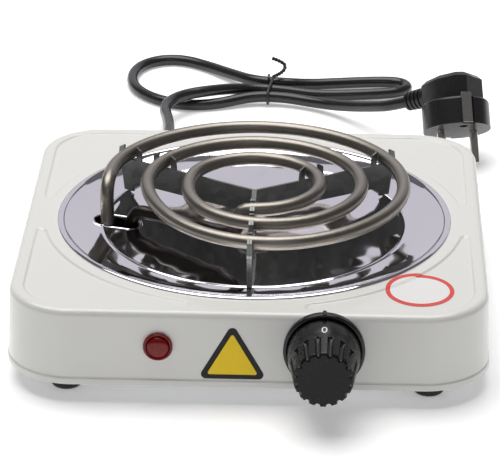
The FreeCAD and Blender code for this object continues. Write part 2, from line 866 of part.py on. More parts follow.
def case_box(inset, y0, y1):
    """A block on the regulator's centre line between two depths."""
    width = case_width - 2 * inset
    height = case_height - 2 * inset
    return Part.makeBox(width, y1 - y0, height, V(knob_x - width / 2, y0, knob_z - height / 2))


def regulator_case():
    """Open-backed moulded case of the heat regulator."""
    room = case_box(case_wall, case_front_y + case_wall, case_back_y + 1)
    hole = Part.makeCylinder(bush_radius + 0.05, 10, knob_axis_at(case_front_y - 4), Y_AXIS)
    return case_box(0, case_front_y, case_back_y).cut(room).cut(hole)


def regulator_cover():
    """Rear cover of the regulator case, with a hole for the pivot pin's end."""
    plate = case_box(0, case_back_y, case_back_y + 1.5)
    stub = case_box(case_wall + 0.15, case_back_y - 1.0, case_back_y)
    rim = case_box(case_wall + 1.4, case_back_y - 1.0, case_back_y)
    pin = pivot_place()
    hole = Part.makeCylinder(pivot_radius + 0.02, 10, V(pin.x, case_back_y - 5, pin.z), Y_AXIS)
    return plate.fuse(stub.cut(rim)).cut(hole)


def fixed_contact():
    """Terminal blade with the fixed contact, through the case's right wall."""
    wall_x = knob_x + case_width / 2
    y = cam_y() + cam_length / 2
    blade_bar = Part.makeBox(case_wall + 8.0, 5.0, 0.8, V(wall_x - case_wall, y - 2.5, knob_z + 7.0))
    start = V(wall_x - case_wall - contact_reach, y, knob_z + 7.4)
    button = Part.makeCylinder(1.4, contact_reach, start, X_AXIS)
    return blade_bar.fuse(button).removeSplitter()


def live_terminal():
    """Second terminal blade, through the case's left wall."""
    wall_x = knob_x - case_width / 2
    y = cam_y() + cam_length / 2
    return Part.makeBox(8.0 + case_wall + 1.0, 5.0, 0.8, V(wall_x - 8.0, y - 2.5, knob_z + 7.0))


def regulator_slots():
    """Openings in the case walls that the two terminal blades fill."""
    return group([fixed_contact(), live_terminal()])


def bimetal_blade():
    """Bimetal strip and its small heater winding beside the cam."""
    y0 = case_front_y + 12.5
    strip_bar = Part.makeBox(15.0, 4.0, 0.7, V(knob_x - 11.5, y0, knob_z - 8.5))
    post = Part.makeBox(3.0, 4.0, 3.0, V(knob_x - 12.9, y0, knob_z - 10.8))
    return strip_bar.fuse(post).removeSplitter()


def mounting_bracket(inside):
    """Steel plate between the regulator and the front wall."""
    depth = bracket_sheet + 3.0
    corner = V(knob_x - bracket_width / 2, case_front_y - depth, knob_z - bracket_height / 2)
    block = Part.makeBox(bracket_width, depth, bracket_height, corner)
    hole = Part.makeCylinder(bush_radius + 0.05, 20, knob_axis_at(front_wall_y - 10), Y_AXIS)
    return block.common(inside).cut(hole)


def shaft_bush():
    """Threaded brass bush that clamps the regulator to the wall."""
    start_y = case_front_y + case_wall
    end_y = front_wall_y - 1.2 - bush_nut_height - 0.6
    bar = Part.makeCylinder(bush_radius, start_y - end_y, knob_axis_at(start_y), FORWARD)
    flange = Part.makeCylinder(bush_radius + 2.0, 1.5, knob_axis_at(start_y), Y_AXIS)
    bore = Part.makeCylinder(shaft_radius + shaft_fit, 40, knob_axis_at(start_y + 10), FORWARD)
    return bar.fuse(flange).cut(bore).removeSplitter()


def bush_nut():
    """Hexagon nut on the bush, inside the dial ring and behind the knob."""
    points = []
    for k in range(6):
        t = math.radians(60 * k)
        out = V(math.cos(t), 0, math.sin(t))
        points.append(knob_axis_at(front_wall_y - 1.2) + out * bush_nut_radius)
    nut = prism(points, FORWARD * bush_nut_height)
    return nut.cut(Part.makeCylinder(bush_radius + 0.02, 20, knob_axis_at(front_wall_y + 5), FORWARD))


def lamp_lens(outside):
    """Red window: rim on the wall, low dome, and a barrel through the hole."""
    barrel = lamp_barrel_radius
    outline = [(0, lamp_rim_thickness + lamp_dome), (2.4, lamp_rim_thickness + lamp_dome - 0.25),
               (4.2, lamp_rim_thickness + lamp_dome - 0.9), (5.2, lamp_rim_thickness),
               (lamp_rim_radius - 0.5, lamp_rim_thickness), (lamp_rim_radius, lamp_rim_thickness - 0.6),
               (lamp_rim_radius, -2.0), (barrel, -2.0), (barrel, -6.0), (barrel - lamp_wall, -6.0),
               (barrel - lamp_wall, 0.2), (0, 0.2)]
    place = V(lamp_x, front_wall_y, lamp_z)
    lens = turned(outline, place, TO_FRONT)
    bore = Part.makeCylinder(barrel, 30, place + V(0, -5, 0), Y_AXIS)
    wall = outside.cut(bore)
    return lens.cut(wall).Solids[0]


def lamp_housing():
    """Moulded holder behind the lens that carries the neon bulb."""
    y0 = front_wall_y + 6.0
    room = lamp_barrel_radius - lamp_wall
    outer = Part.makeCylinder(lamp_barrel_radius, lamp_barrel_length - 6.0, lamp_axis_at(y0), Y_AXIS)
    inner = Part.makeCylinder(room, lamp_barrel_length - 8.0, lamp_axis_at(y0), Y_AXIS)
    return outer.cut(inner)


def lamp_bulb():
    """Neon bulb inside the holder."""
    y0 = front_wall_y + 2.2
    bulb = Part.makeCylinder(bulb_radius, bulb_length, lamp_axis_at(y0), Y_AXIS)
    front_edges = [e for e in bulb.Edges if e.BoundBox.YMax < y0 + 0.01]
    return bulb.makeFillet(1.8, front_edges)


def lamp_clip():
    """Spring ring that holds the lens and holder against the wall's inner face."""
    y0 = front_wall_y + sheet + 0.9
    ring = Part.makeCylinder(lamp_barrel_radius + 2.2, 0.6, lamp_axis_at(y0), Y_AXIS)
    return ring.cut(Part.makeCylinder(lamp_barrel_radius + 0.02, 0.6, lamp_axis_at(y0), Y_AXIS))


def terminal_block():
    """Ceramic block that joins the coil's pins to the wires."""
    block = box_about(pan_hole_x, -0.8, floor_z, block_length, block_depth, block_height)
    holes = []
    for place in leg_places():
        radius = pin_radius + block_pin_clearance
        holes.append(Part.makeCylinder(radius, 40, V(place.x, place.y, floor_z + 2.0)))
    for x, y in block_screw_places():
        holes.append(Part.makeCylinder(1.5 + screw_clearance, 40, V(x, y, floor_z + 3.0)))
    return block.cut(group(holes))


def block_screw_places():
    return ((pan_hole_x - 12.0, -0.8), (pan_hole_x + 12.0, -0.8))


def block_screws():
    """Clamping screws in the top of the terminal block."""
    screws = []
    for x, y in block_screw_places():
        top = V(x, y, floor_z + block_height)
        head = Part.makeCylinder(2.6, 1.6, top)
        body = head.fuse(Part.makeCylinder(1.5, 5.0, top - V(0, 0, 5.0)))
        screws.append(body.cut(box_about(x, y, top.z + 0.9, 5.2, 0.7, 1.0)).removeSplitter())
    return group(screws)


def heat_shield():
    """Bright steel disc under the pan on three bent legs that stand on the base plate."""
    disc = Part.makeCylinder(shield_radius, shield_sheet, V(0, 0, shield_height))
    legs = []
    for k in range(3):
        corner = V(shield_radius - 4.0, -shield_leg / 2, floor_z)
        leg = Part.makeBox(1.0, shield_leg, shield_height - floor_z, corner)
        toe = Part.makeBox(7.0, shield_leg, 1.0, corner)
        leg = leg.fuse(toe)
        leg.Placement = FreeCAD.Placement(V(0, 0, 0), FreeCAD.Rotation(Z_AXIS, 90.0 + 120.0 * k))
        legs.append(leg)
    return disc.fuse(legs).removeSplitter()


def pan_clips():
    """Three spring clips under the casing top that keep the pan's cone down."""
    clips = []
    for k in range(3):
        outer = ring_inner_radius + 3.0
        under = top_z - sheet - 0.6
        inner = ring_inner_radius - 4.0
        low = pan_floor_height(inner) - pan_sheet - 0.7
        side_view = [(outer, under), (outer, under + 0.6), (ring_inner_radius + 0.8, under + 0.6),
                     (ring_inner_radius + 0.2, low - 0.6), (inner, low - 0.6), (inner, low - 1.2),
                     (ring_inner_radius - 0.4, low - 1.2)]
        clip = prism([V(r, -4, h) for r, h in side_view], V(0, 8, 0))
        clip.Placement = FreeCAD.Placement(V(0, 0, 0), FreeCAD.Rotation(Z_AXIS, 90.0 + 120.0 * k))
        clips.append(clip)
    return group(clips)


def earth_screw():
    """Screw and ring tag that earth the base plate."""
    place = V(cord_x + 14.0, 74.0, floor_z)
    tag = Part.makeCylinder(4.0, 0.8, place)
    head = Part.makeCylinder(3.0, 1.8, place + V(0, 0, 0.8))
    return tag.fuse(head).cut(box_about(place.x, place.y, place.z + 1.9, 6.0, 0.7, 1.0)).removeSplitter()


def wire_routes():
    """Centre points of the insulated wires inside the casing, each with its own name."""
    z = floor_z + wire_diameter / 2 + 0.2
    blade_y = cam_y() + cam_length / 2
    reach = case_width / 2 + 8.2 + wire_diameter / 2
    right = V(knob_x + reach, blade_y, knob_z + 7.4)
    left = V(knob_x - reach, blade_y, knob_z + 7.4)
    entry = V(cord_x, back_wall_y - sleeve_inner - 1.0, cord_exit_z)
    block_front = -0.8 - block_depth / 2 - 0.2
    block_x = pan_hole_x - 6.0
    return {
        "live_wire": [
            entry + V(-2.0, 0, 1.6), entry + V(-14.0, -12.0, 0), V(-88.0, 78.0, z + 2), V(-92.0, 40.0, z),
            V(-92.0, -10.0, z), V(-84.0, -58.0, z), V(-58.0, -80.0, z), V(-20.0, -82.0, z),
            left + V(-2.0, -1.0, z + 6 - left.z), left],
        "neutral_wire": [
            entry + V(0.8, 0, -1.9), entry + V(0, -14.0, -3.0), V(-64.0, 66.0, z + 1), V(-72.0, 36.0, z),
            V(-60.0, 20.0, z + 2), V(-57.0, 5.95, z + 1)],
        "earth_wire": [
            entry + V(1.8, 0, 1.6), entry + V(6.0, -10.0, -2.0), V(cord_x + 12.0, entry.y - 20, z + 2.0),
            V(cord_x + 14.0, 78.3, z)],
        "coil_wire": [
            right, right + V(3.0, 4.0, z + 7 - right.z), V(70.0, -74.0, z), V(40.0, -70.0, z),
            V(0.0, -66.0, z), V(-40.0, -58.0, z), V(-66.0, -34.0, z), V(block_x, block_front - 6, z + 2),
            V(block_x, block_front - wire_diameter / 2 + 1.2, z + 1)],
    }


def lamp_leads():
    """The lamp's two thin leads, one with its series resistor in a sleeve."""
    y0 = front_wall_y + lamp_barrel_length + 0.2
    leads = []
    for side in (-1, 1):
        x = lamp_x + 2.6 * side
        points = [V(x, y0, lamp_z), V(x, y0 + 8, lamp_z - 0.5), V(x + 1, y0 + 14, lamp_z - 6),
                  V(x + 2, y0 + 20, floor_z + 3.4)]
        leads.append(tube(points, lead_diameter))
    return group(leads)


def triangle_label():
    """Plain triangular label on the front wall."""
    z0 = hem_z + triangle_base_height
    half = triangle_side / 2
    y = -body_depth / 2 - 3
    peak = V(triangle_x, y, z0 + triangle_height)
    points = [V(triangle_x - half, y, z0), V(triangle_x + half, y, z0), peak]
    block = prism(points, V(0, 6.0, 0))
    upright = [e for e in block.Edges if e.BoundBox.YLength > 5.9]
    block = block.makeFillet(2.2, upright)
    film = casing_form(-label_thickness, hem_z, top_z, 0).cut(casing_form(0.0, hem_z - 1, top_z + 1, 0))
    return film.common(block).Solids[0]


def oval_label():
    """Plain oval label on the top, cut at the corner pad's step."""
    disc = Part.makeCylinder(1.0, label_thickness, V(0, 0, 0))
    stretch = FreeCAD.Matrix()
    stretch.A11 = oval_width / 2
    stretch.A22 = oval_length / 2
    oval = disc.transformGeometry(stretch)
    oval.translate(V(oval_x, oval_y, top_z - pad_depth))
    pad = corner_pad(top_z - pad_depth, label_thickness, -0.05).mirror(V(0, 0, 0), Y_AXIS)
    return oval.common(pad).Solids[0]


def strain_relief(outside, inside):
    """Rubber sleeve in the back wall: inner flange, neck, outer collar and a ribbed taper."""
    bore = cord_diameter / 2 + sleeve_fit
    neck = cord_hole_radius()
    outline = [(bore, -sleeve_inner), (neck + 1.8, -sleeve_inner), (neck + 1.8, 2.4), (neck + 0.4, 2.4)]
    ribs = 4
    pitch = (sleeve_length - 6.0) / ribs
    for k in range(ribs):
        y = 3.2 + k * pitch
        r = neck + 0.1 - (neck + 0.1 - bore - 1.1) * (k / ribs)
        outline += [(r, y), (r - 0.15, y + pitch * 0.55)]
        outline += [(r - 0.9, y + pitch * 0.62), (r - 0.9, y + pitch * 0.92)]
    outline += [(bore + 0.9, sleeve_length), (bore, sleeve_length)]
    place = V(cord_x, back_wall_y, cord_exit_z)
    sleeve = turned(outline, place, TO_BACK)
    hole = Part.makeCylinder(neck, 40, place - V(0, 20, 0), Y_AXIS)
    wall = outside.cut(inside).cut(hole)
    sleeve = sleeve.cut(wall)
    return max(sleeve.Solids, key=lambda s: s.Volume)


def cord_route():
    """The cord's points: out of the back, through the tie, a tight fold, a loop, and to the plug."""
    floor = cord_diameter / 2
    boot_end, leaving = boot_end_point()
    return [
        V(cord_x, back_wall_y + 0.6, cord_exit_z), V(cord_x, back_wall_y + 46, cord_exit_z),
        V(-53.6, 203.0, 13.2), V(-57.8, 226.4, 11.3), V(-54.4, 240.6, 11.0), V(-46.0, 249.8, 10.9),
        V(-35.0, 255.8, 10.7), V(-22.6, 264.8, 8.8), V(-8.0, 272.2, 6.2), V(8.0, 272.2, 5.4),
        V(26.0, 271.2, floor), V(46.0, 272.6, floor), V(64.0, 275.6, floor), V(76.4, 279.0, floor),
        V(81.6, 287.0, floor), V(76.0, 295.0, floor), V(60.0, 294.6, floor), V(42.0, 291.6, floor),
        V(24.0, 287.0, floor + 0.6), V(7.0, 281.6, 6.5), V(-9.0, 284.4, 6.5), V(-22.4, 299.6, 4.6),
        V(-36.0, 314.6, floor), V(-50.0, 324.4, floor), V(-62.6, 325.2, floor), V(-73.2, 318.6, floor),
        V(-79.2, 307.4, floor), V(-80.6, 294.0, floor), V(-78.2, 279.6, floor), V(-70.6, 266.6, floor),
        V(-59.0, 256.6, floor), V(-44.6, 251.8, floor), V(-29.0, 254.6, floor), V(-9.0, 263.4, 5.1),
        V(9.0, 262.8, 5.1), V(25.0, 257.4, 4.6), V(38.0, 248.8, 6.2), V(50.0, 236.8, 10.4),
        V(61.0, 223.6, 15.8), boot_end + leaving * 12.0, boot_end,
    ]


def plug_axes():
    """Unit vectors of the plug: along its pins' line, away from its earth hole, out of its back."""
    tilt = math.radians(plug_tilt)
    yaw = FreeCAD.Rotation(Z_AXIS, plug_yaw)
    side = yaw.multVec(X_AXIS)
    up = yaw.multVec(V(0, -math.sin(tilt), math.cos(tilt)))
    pins = yaw.multVec(V(0, -math.cos(tilt), -math.sin(tilt)))
    roll = math.radians(plug_roll)
    line = side * math.cos(roll) - up * math.sin(roll)
    clips = up * math.cos(roll) + side * math.sin(roll)
    return line, clips * -1, pins * -1


def plug_placement():
    line, away, back = plug_axes()
    return FreeCAD.Placement(face_centre, FreeCAD.Rotation(line, away, back, "ZXY"))


def cord_direction():
    """Unit vector, in the plug's own frame, along which the cord leaves it."""
    t = math.radians(plug_cord_angle)
    return V(-math.cos(t), math.sin(t), 0)


def clip_channel(side):
    """Room for one earth clip in the plug's side, in the plug's own frame."""
    y0 = side * (plug_radius - 2.4)
    depth = side * 4.0
    lo = min(y0, y0 + depth)
    return Part.makeBox(clip_width + 1.0, abs(depth), plug_disc + 3.5, V(-(clip_width + 1.0) / 2, lo, -0.5))


def plug_body():
    """Moulded angled plug: round disc, stepped back block, ribbed boot, channels and pin seats."""
    disc = Part.makeCylinder(plug_radius, plug_disc)
    back_edges = [e for e in disc.Edges if e.BoundBox.ZMin > plug_disc - 0.01]
    disc = disc.makeFillet(2.0, back_edges)
    half = plug_block_width / 2
    neck = boot_radius + 0.6
    reach = 17.0
    outline = [V(-reach, -neck, 0), V(-3.0, -half, 0), V(9.0, -half, 0), V(13.5, -half + 4.5, 0),
               V(13.5, half - 4.5, 0), V(9.0, half, 0), V(-3.0, half, 0), V(-reach, neck, 0)]
    block = prism(outline, V(0, 0, plug_depth - 8.0))
    turn = FreeCAD.Rotation(Z_AXIS, -plug_cord_angle)
    block.translate(V(0, 0, 8.0))
    top_edges = [e for e in block.Edges if e.BoundBox.ZMin > plug_depth - 0.01]
    block = block.makeChamfer(2.4, top_edges)
    block.Placement = FreeCAD.Placement(V(0, 0, 0), turn).multiply(block.Placement)
    d = cord_direction()
    at = V(0, 0, plug_cord_back)
    start = reach - 2.0
    boot = Part.makeCone(boot_radius + 0.4, boot_radius - 0.4, boot_reach - start, at + d * start, d)
    for k in range(4):
        centre = at + d * (boot_reach - 2.4 - 2.6 * k)
        groove = Part.makeCylinder(boot_radius + 3, 1.0, centre, d)
        boot = boot.cut(groove.cut(Part.makeCylinder(boot_radius - 1.3, 1.0, centre, d)))
    body = disc.fuse([block, boot])
    cutters = [clip_channel(1), clip_channel(-1)]
    cutters.append(Part.makeCylinder(earth_hole_radius, 12.0, V(0, -earth_hole_offset, -1)))
    for side in (-1, 1):
        seat = Part.makeCylinder(plug_root_radius, plug_root_length, V(side * plug_pin_spacing / 2, 0, 0))
        cutters.append(seat)
    body = body.cut(group(cutters)).removeSplitter()
    body.Placement = plug_placement().multiply(body.Placement)
    return body.Solids[0]


def plug_pins():
    """Two round pins with rounded tips, on narrower roots seated in the plug."""
    pins = []
    for side in (-1, 1):
        x = side * plug_pin_spacing / 2
        pin = Part.makeCylinder(plug_pin_radius, plug_pin_length, V(x, 0, -plug_pin_length))
        tip = [e for e in pin.Edges if e.BoundBox.ZMax < -plug_pin_length + 0.01]
        root = Part.makeCylinder(plug_root_radius, plug_root_length, V(x, 0, 0))
        pins.append(pin.makeFillet(plug_tip_radius, tip).fuse(root))
    shape = group(pins)
    shape.Placement = plug_placement()
    return shape


def plug_clips():
    """Two earthing clips in the plug's side channels, turned over its face."""
    clips = []
    for side in (-1, 1):
        y = side * (plug_radius - 1.5)
        y0 = min(y, y - side * clip_sheet)
        wall = Part.makeBox(clip_width, clip_sheet, plug_disc + 1.5, V(-clip_width / 2, y0, 0.6))
        clips.append(wall)
    shape = group(clips)
    shape.Placement = plug_placement()
    return shape


def boot_end_point():
    """Where the cord meets the end of the plug's boot, and the direction in which it leaves."""
    placement = plug_placement()
    local = V(0, 0, plug_cord_back) + cord_direction() * boot_reach
    return placement.multVec(local), placement.Rotation.multVec(cord_direction())


def around(x, y, z, reach, angles):
    """Corners of a flat octagon's side about a strand, in the plane across the bundle."""
    points = []
    for a in angles:
        t = math.radians(a)
        points.append(V(x, y + reach * math.cos(t), z + reach * math.sin(t)))
    return points


def twist_tie():
    """Coated wire round the three strands of the bundle, with a twisted tail."""
    clear = (cord_diameter + tie_wire) / 2 + tie_gap
    reach = clear / math.cos(math.radians(22.5))
    front_y, front_z = 263.1, 5.1
    back_y, back_z = 282.9, 6.5
    loop = around(0.0, back_y, back_z, reach, (67.5, 22.5, -22.5, -67.5))
    loop += around(0.0, front_y, front_z, reach, (247.5, 202.5, 157.5, 112.5))
    top = back_z + clear
    twist = [V(1.8, back_y - 11.0, top + 0.2), V(2.6, back_y - 6.5, top + 0.6)]
    route = [V(0.0, back_y - 6.0, top)] + loop + twist
    band = tube(route, tie_wire)
    tail = [V(2.6, back_y - 4.9, top + 1.0), V(6.4, back_y - 2.6, top + 1.6), V(9.6, back_y + 0.6, top + 3.6),
            V(9.0, back_y + 3.0, top + 6.8), V(2.0, back_y + 3.4, top + 9.0)]
    return group([band, tube(tail, tie_wire)])


def build():
    outside = casing_outside()
    inside = casing_inside()
    save("top_shell", top_shell(outside, inside))
    save("base_plate", base_plate())
    save("fixing_lugs", fixing_lugs(inside))
    save("base_screws", base_screws())
    names = ("foot_front_left", "foot_back_left", "foot_front_right", "foot_back_right")
    for name, place in zip(names, foot_places()):
        save(name, foot(place))
    save("foot_screws", foot_screws())
    save("drip_pan", drip_pan())
    save("pan_clips", pan_clips())
    save("heating_coil", reported_tube("heating_coil", coil_route(), tube_diameter))
    save("coil_beads", coil_beads())
    save("coil_pins", coil_pins())
    save("spider_left_strip", spider_strip(-1, arm_angles[0], (0, 1)))
    save("spider_right_strip", spider_strip(1, arm_angles[1], (0, 2)))
    save("spider_rivets", spider_rivets())
    save("dial_ring", dial_ring(outside))
    save("knob", knob())
    save("knob_clip", knob_clip())
    save("regulator_shaft", regulator_shaft())
    save("regulator_cam", regulator_cam())
    save("cam_follower", cam_follower())
    save("moving_contact", moving_contact())
    save("pivot_pin", pivot_pin())
    save("regulator_case", regulator_case().cut(regulator_slots()))
    save("regulator_cover", regulator_cover())
    save("fixed_contact", fixed_contact())
    save("live_terminal", live_terminal())
    save("bimetal_blade", bimetal_blade())
    save("mounting_bracket", mounting_bracket(inside))
    save("shaft_bush", shaft_bush())
    save("bush_nut", bush_nut())
    save("lamp_lens", lamp_lens(outside))
    save("lamp_housing", lamp_housing())
    save("lamp_bulb", lamp_bulb())
    save("lamp_clip", lamp_clip())
    save("lamp_leads", lamp_leads())
    save("terminal_block", terminal_block())
    save("block_screws", block_screws())
    save("heat_shield", heat_shield())
    save("earth_screw", earth_screw())
    for name, points in wire_routes().items():
        save(name, tube(points, wire_diameter))
    save("triangle_label", triangle_label())
    save("oval_label", oval_label())
    save("strain_relief", strain_relief(outside, inside))
    save("mains_cord", reported_tube("mains_cord", cord_route(), cord_diameter))
    save("plug_body", plug_body())
    save("plug_pins", plug_pins())
    save("plug_clips", plug_clips())
    save("twist_tie", twist_tie())


build()
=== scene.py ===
import math

import bmesh
import bpy
import numpy as np
from mathutils import Matrix, Vector


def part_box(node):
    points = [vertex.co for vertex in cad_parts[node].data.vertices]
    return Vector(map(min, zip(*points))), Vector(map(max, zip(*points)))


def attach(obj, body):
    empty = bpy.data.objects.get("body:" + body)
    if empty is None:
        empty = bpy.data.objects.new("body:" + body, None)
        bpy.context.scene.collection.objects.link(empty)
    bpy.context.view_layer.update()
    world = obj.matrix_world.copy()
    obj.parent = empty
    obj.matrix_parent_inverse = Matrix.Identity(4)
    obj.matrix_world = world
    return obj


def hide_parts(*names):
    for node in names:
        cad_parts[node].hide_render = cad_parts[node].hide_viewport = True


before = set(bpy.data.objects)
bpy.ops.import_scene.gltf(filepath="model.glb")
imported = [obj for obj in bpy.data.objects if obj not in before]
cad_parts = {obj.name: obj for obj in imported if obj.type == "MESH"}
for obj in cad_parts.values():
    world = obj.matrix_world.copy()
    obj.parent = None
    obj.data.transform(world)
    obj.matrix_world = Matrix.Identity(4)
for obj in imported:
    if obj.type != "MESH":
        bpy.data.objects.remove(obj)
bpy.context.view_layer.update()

# ---------------------------------------------------------------------------------------------
# The set: a pale floor, soft studio light and the camera.
# The camera stands far off in front of the hot plate, a little to the right, and looks down.

CAMERA_PLACE = Vector((0.03612, -1.28777, 0.61944))
CAMERA_YAW = math.radians(-1.676)
CAMERA_PITCH = math.radians(24.174)
CAMERA_ROLL = math.radians(0.42)
CAMERA_LENS = 210.16


def aimed_camera():
    """A camera turned by yaw about +Z, tipped down by pitch, and rolled about its own line of sight."""
    level = math.cos(CAMERA_PITCH)
    ahead = Vector((math.sin(CAMERA_YAW) * level, math.cos(CAMERA_YAW) * level, -math.sin(CAMERA_PITCH)))
    across = Vector((math.cos(CAMERA_YAW), -math.sin(CAMERA_YAW), 0.0))
    upward = across.cross(ahead)
    right = across * math.cos(CAMERA_ROLL) + upward * math.sin(CAMERA_ROLL)
    top = upward * math.cos(CAMERA_ROLL) - across * math.sin(CAMERA_ROLL)
    camera = bpy.data.objects.new("camera", bpy.data.cameras.new("camera"))
    camera.data.lens = CAMERA_LENS
    camera.data.sensor_width = 36.0
    camera.data.clip_start = 0.05
    turn = Matrix((right, top, -ahead)).transposed()
    camera.matrix_world = Matrix.Translation(CAMERA_PLACE) @ turn.to_4x4()
    bpy.context.scene.collection.objects.link(camera)
    return camera


def softbox(name, place, target, size, power, colour):
    """A rectangular area light at a place, turned to face a target."""
    light = bpy.data.lights.new(name, "AREA")
    light.shape = "RECTANGLE"
    light.size, light.size_y = size
    light.energy = power
    light.color = colour
    lamp = bpy.data.objects.new(name, light)
    lamp.location = place
    lamp.rotation_euler = (Vector(target) - Vector(place)).to_track_quat("-Z", "Y").to_euler()
    bpy.context.scene.collection.objects.link(lamp)


bpy.context.scene.camera = aimed_camera()
bpy.context.scene.view_settings.view_transform = "Standard"

world = bpy.data.worlds.new("studio")
bpy.context.scene.world = world
world.use_nodes = True
world.node_tree.nodes["Background"].inputs["Color"].default_value = (0.84, 0.82, 0.88, 1.0)
world.node_tree.nodes["Background"].inputs["Strength"].default_value = 0.16

softbox("overhead", (-0.20, 0.45, 1.6), (0.0, 0.05, 0.0), (1.7, 1.5), 33.0, (1.0, 0.99, 0.97))
softbox("behind", (0.0, 3.0, 1.25), (0.0, 0.0, 0.0), (5.0, 1.9), 17.0, (0.94, 0.92, 1.0))
softbox("front", (0.3, -1.9, 1.3), (0.0, 0.0, 0.0), (0.9, 0.5), 1.5, (0.92, 0.93, 1.0))

FLOOR_HALF = 4.0
floor_corners = [(x * FLOOR_HALF, y * FLOOR_HALF, 0) for x, y in ((-1, -1), (1, -1), (1, 1), (-1, 1))]
floor_mesh = bpy.data.meshes.new("floor")
floor_mesh.from_pydata(floor_corners, [], [(0, 1, 2, 3)])
floor = bpy.data.objects.new("floor", floor_mesh)
bpy.context.scene.collection.objects.link(floor)
floor_paint = bpy.data.materials.new("floor_paint")
floor_paint.use_nodes = True
floor_shader = floor_paint.node_tree.nodes["Principled BSDF"]
floor_shader.inputs["Base Color"].default_value = (0.97, 0.97, 0.97, 1.0)
floor_shader.inputs["Roughness"].default_value = 0.9
floor_shader.inputs["Specular IOR Level"].default_value = 0.1
floor_shader.inputs["Emission Color"].default_value = (1.0, 1.0, 1.0, 1.0)
floor_shader.inputs["Emission Strength"].default_value = 0.30
floor_mesh.materials.append(floor_paint)


# ---------------------------------------------------------------------------------------------
# The mains cord: round three-core cord in black PVC, extruded and satin, 6.4 mm thick.
# It leaves the back wall through the sleeve, passes the tie three times and ends in the plug.

CORD_DIAMETER = 0.0064
CORD_FLOOR = CORD_DIAMETER / 2
CORD_EXIT = (-0.0510, 0.1272, 0.0196)
CORD_POINTS = [
    CORD_EXIT, (-0.0510, 0.1728, 0.0196), (-0.0536, 0.2180, 0.0132), (-0.0578, 0.2414, 0.0113),
    (-0.0544, 0.2556, 0.0110), (-0.0460, 0.2648, 0.0109), (-0.0350, 0.2708, 0.0107), (-0.0226, 0.2798, 0.0088),
    (-0.0080, 0.2872, 0.0062), (0.0080, 0.2872, 0.0054), (0.0260, 0.2862, CORD_FLOOR),
    (0.0460, 0.2876, CORD_FLOOR), (0.0640, 0.2906, CORD_FLOOR), (0.0764, 0.2940, CORD_FLOOR),
    (0.0816, 0.3020, CORD_FLOOR), (0.0760, 0.3100, CORD_FLOOR), (0.0600, 0.3096, CORD_FLOOR),
    (0.0420, 0.3066, CORD_FLOOR), (0.0240, 0.3020, 0.0038), (0.0070, 0.2966, 0.0065), (-0.0090, 0.2994, 0.0065),
    (-0.0224, 0.3146, 0.0046), (-0.0360, 0.3296, CORD_FLOOR), (-0.0500, 0.3394, CORD_FLOOR),
    (-0.0626, 0.3402, CORD_FLOOR), (-0.0732, 0.3336, CORD_FLOOR), (-0.0792, 0.3224, CORD_FLOOR),
    (-0.0806, 0.3090, CORD_FLOOR), (-0.0782, 0.2946, CORD_FLOOR), (-0.0706, 0.2816, CORD_FLOOR),
    (-0.0590, 0.2716, CORD_FLOOR), (-0.0446, 0.2668, CORD_FLOOR), (-0.0290, 0.2696, CORD_FLOOR),
    (-0.0090, 0.2784, 0.0051), (0.0090, 0.2778, 0.0051), (0.0250, 0.2724, 0.0046), (0.0380, 0.2638, 0.0062),
    (0.0500, 0.2518, 0.0104), (0.0610, 0.2386, 0.0158), (0.0695, 0.2290, 0.0202), (0.0793, 0.2239, 0.0250),
]


def nurbs_curve(name, points):
    """A curve object of one open NURBS spline of order 3, with the points as its control points."""
    curve = bpy.data.curves.new(name, "CURVE")
    curve.dimensions = "3D"
    spline = curve.splines.new("NURBS")
    spline.points.add(len(points) - 1)
    spline.points.foreach_set("co", np.hstack([np.array(points), np.ones((len(points), 1))]).ravel())
    spline.order_u = 3
    spline.use_endpoint_u = True
    spline.resolution_u = 12
    piece = bpy.data.objects.new(name, curve)
    bpy.context.scene.collection.objects.link(piece)
    return piece


def finish(name, colour, roughness, metallic=0.0, tint=None, tint_scale=60.0, spread=0.06, grain_scale=1400.0,
           bump=0.08, coat=0.0, specular=0.5):
    """A surface finish: two tones mixed by broad noise, and fine noise that moves roughness and relief."""
    material = bpy.data.materials.new(name)
    material.use_nodes = True
    nodes, links = material.node_tree.nodes, material.node_tree.links
    shader = nodes["Principled BSDF"]
    place = nodes.new("ShaderNodeTexCoord")
    broad = nodes.new("ShaderNodeTexNoise")
    broad.inputs["Scale"].default_value = tint_scale
    broad.inputs["Detail"].default_value = 3.0
    links.new(place.outputs["Object"], broad.inputs["Vector"])
    tones = nodes.new("ShaderNodeMix")
    tones.data_type = "RGBA"
    tones.inputs["A"].default_value = (*colour, 1.0)
    tones.inputs["B"].default_value = (*(tint or [c * 0.82 for c in colour]), 1.0)
    links.new(broad.outputs["Fac"], tones.inputs["Factor"])
    links.new(tones.outputs["Result"], shader.inputs["Base Color"])
    fine = nodes.new("ShaderNodeTexNoise")
    fine.inputs["Scale"].default_value = grain_scale
    fine.inputs["Detail"].default_value = 2.0
    links.new(place.outputs["Object"], fine.inputs["Vector"])
    shine = nodes.new("ShaderNodeMapRange")
    shine.inputs["To Min"].default_value = max(roughness - spread, 0.02)
    shine.inputs["To Max"].default_value = min(roughness + spread, 1.0)
    links.new(fine.outputs["Fac"], shine.inputs["Value"])
    links.new(shine.outputs["Result"], shader.inputs["Roughness"])
    relief = nodes.new("ShaderNodeBump")
    relief.inputs["Strength"].default_value = bump
    relief.inputs["Distance"].default_value = 0.0002
    links.new(fine.outputs["Fac"], relief.inputs["Height"])
    links.new(relief.outputs["Normal"], shader.inputs["Normal"])
    shader.inputs["Metallic"].default_value = metallic
    shader.inputs["Coat Weight"].default_value = coat
    shader.inputs["Coat Roughness"].default_value = 0.08
    shader.inputs["Specular IOR Level"].default_value = specular
    return material


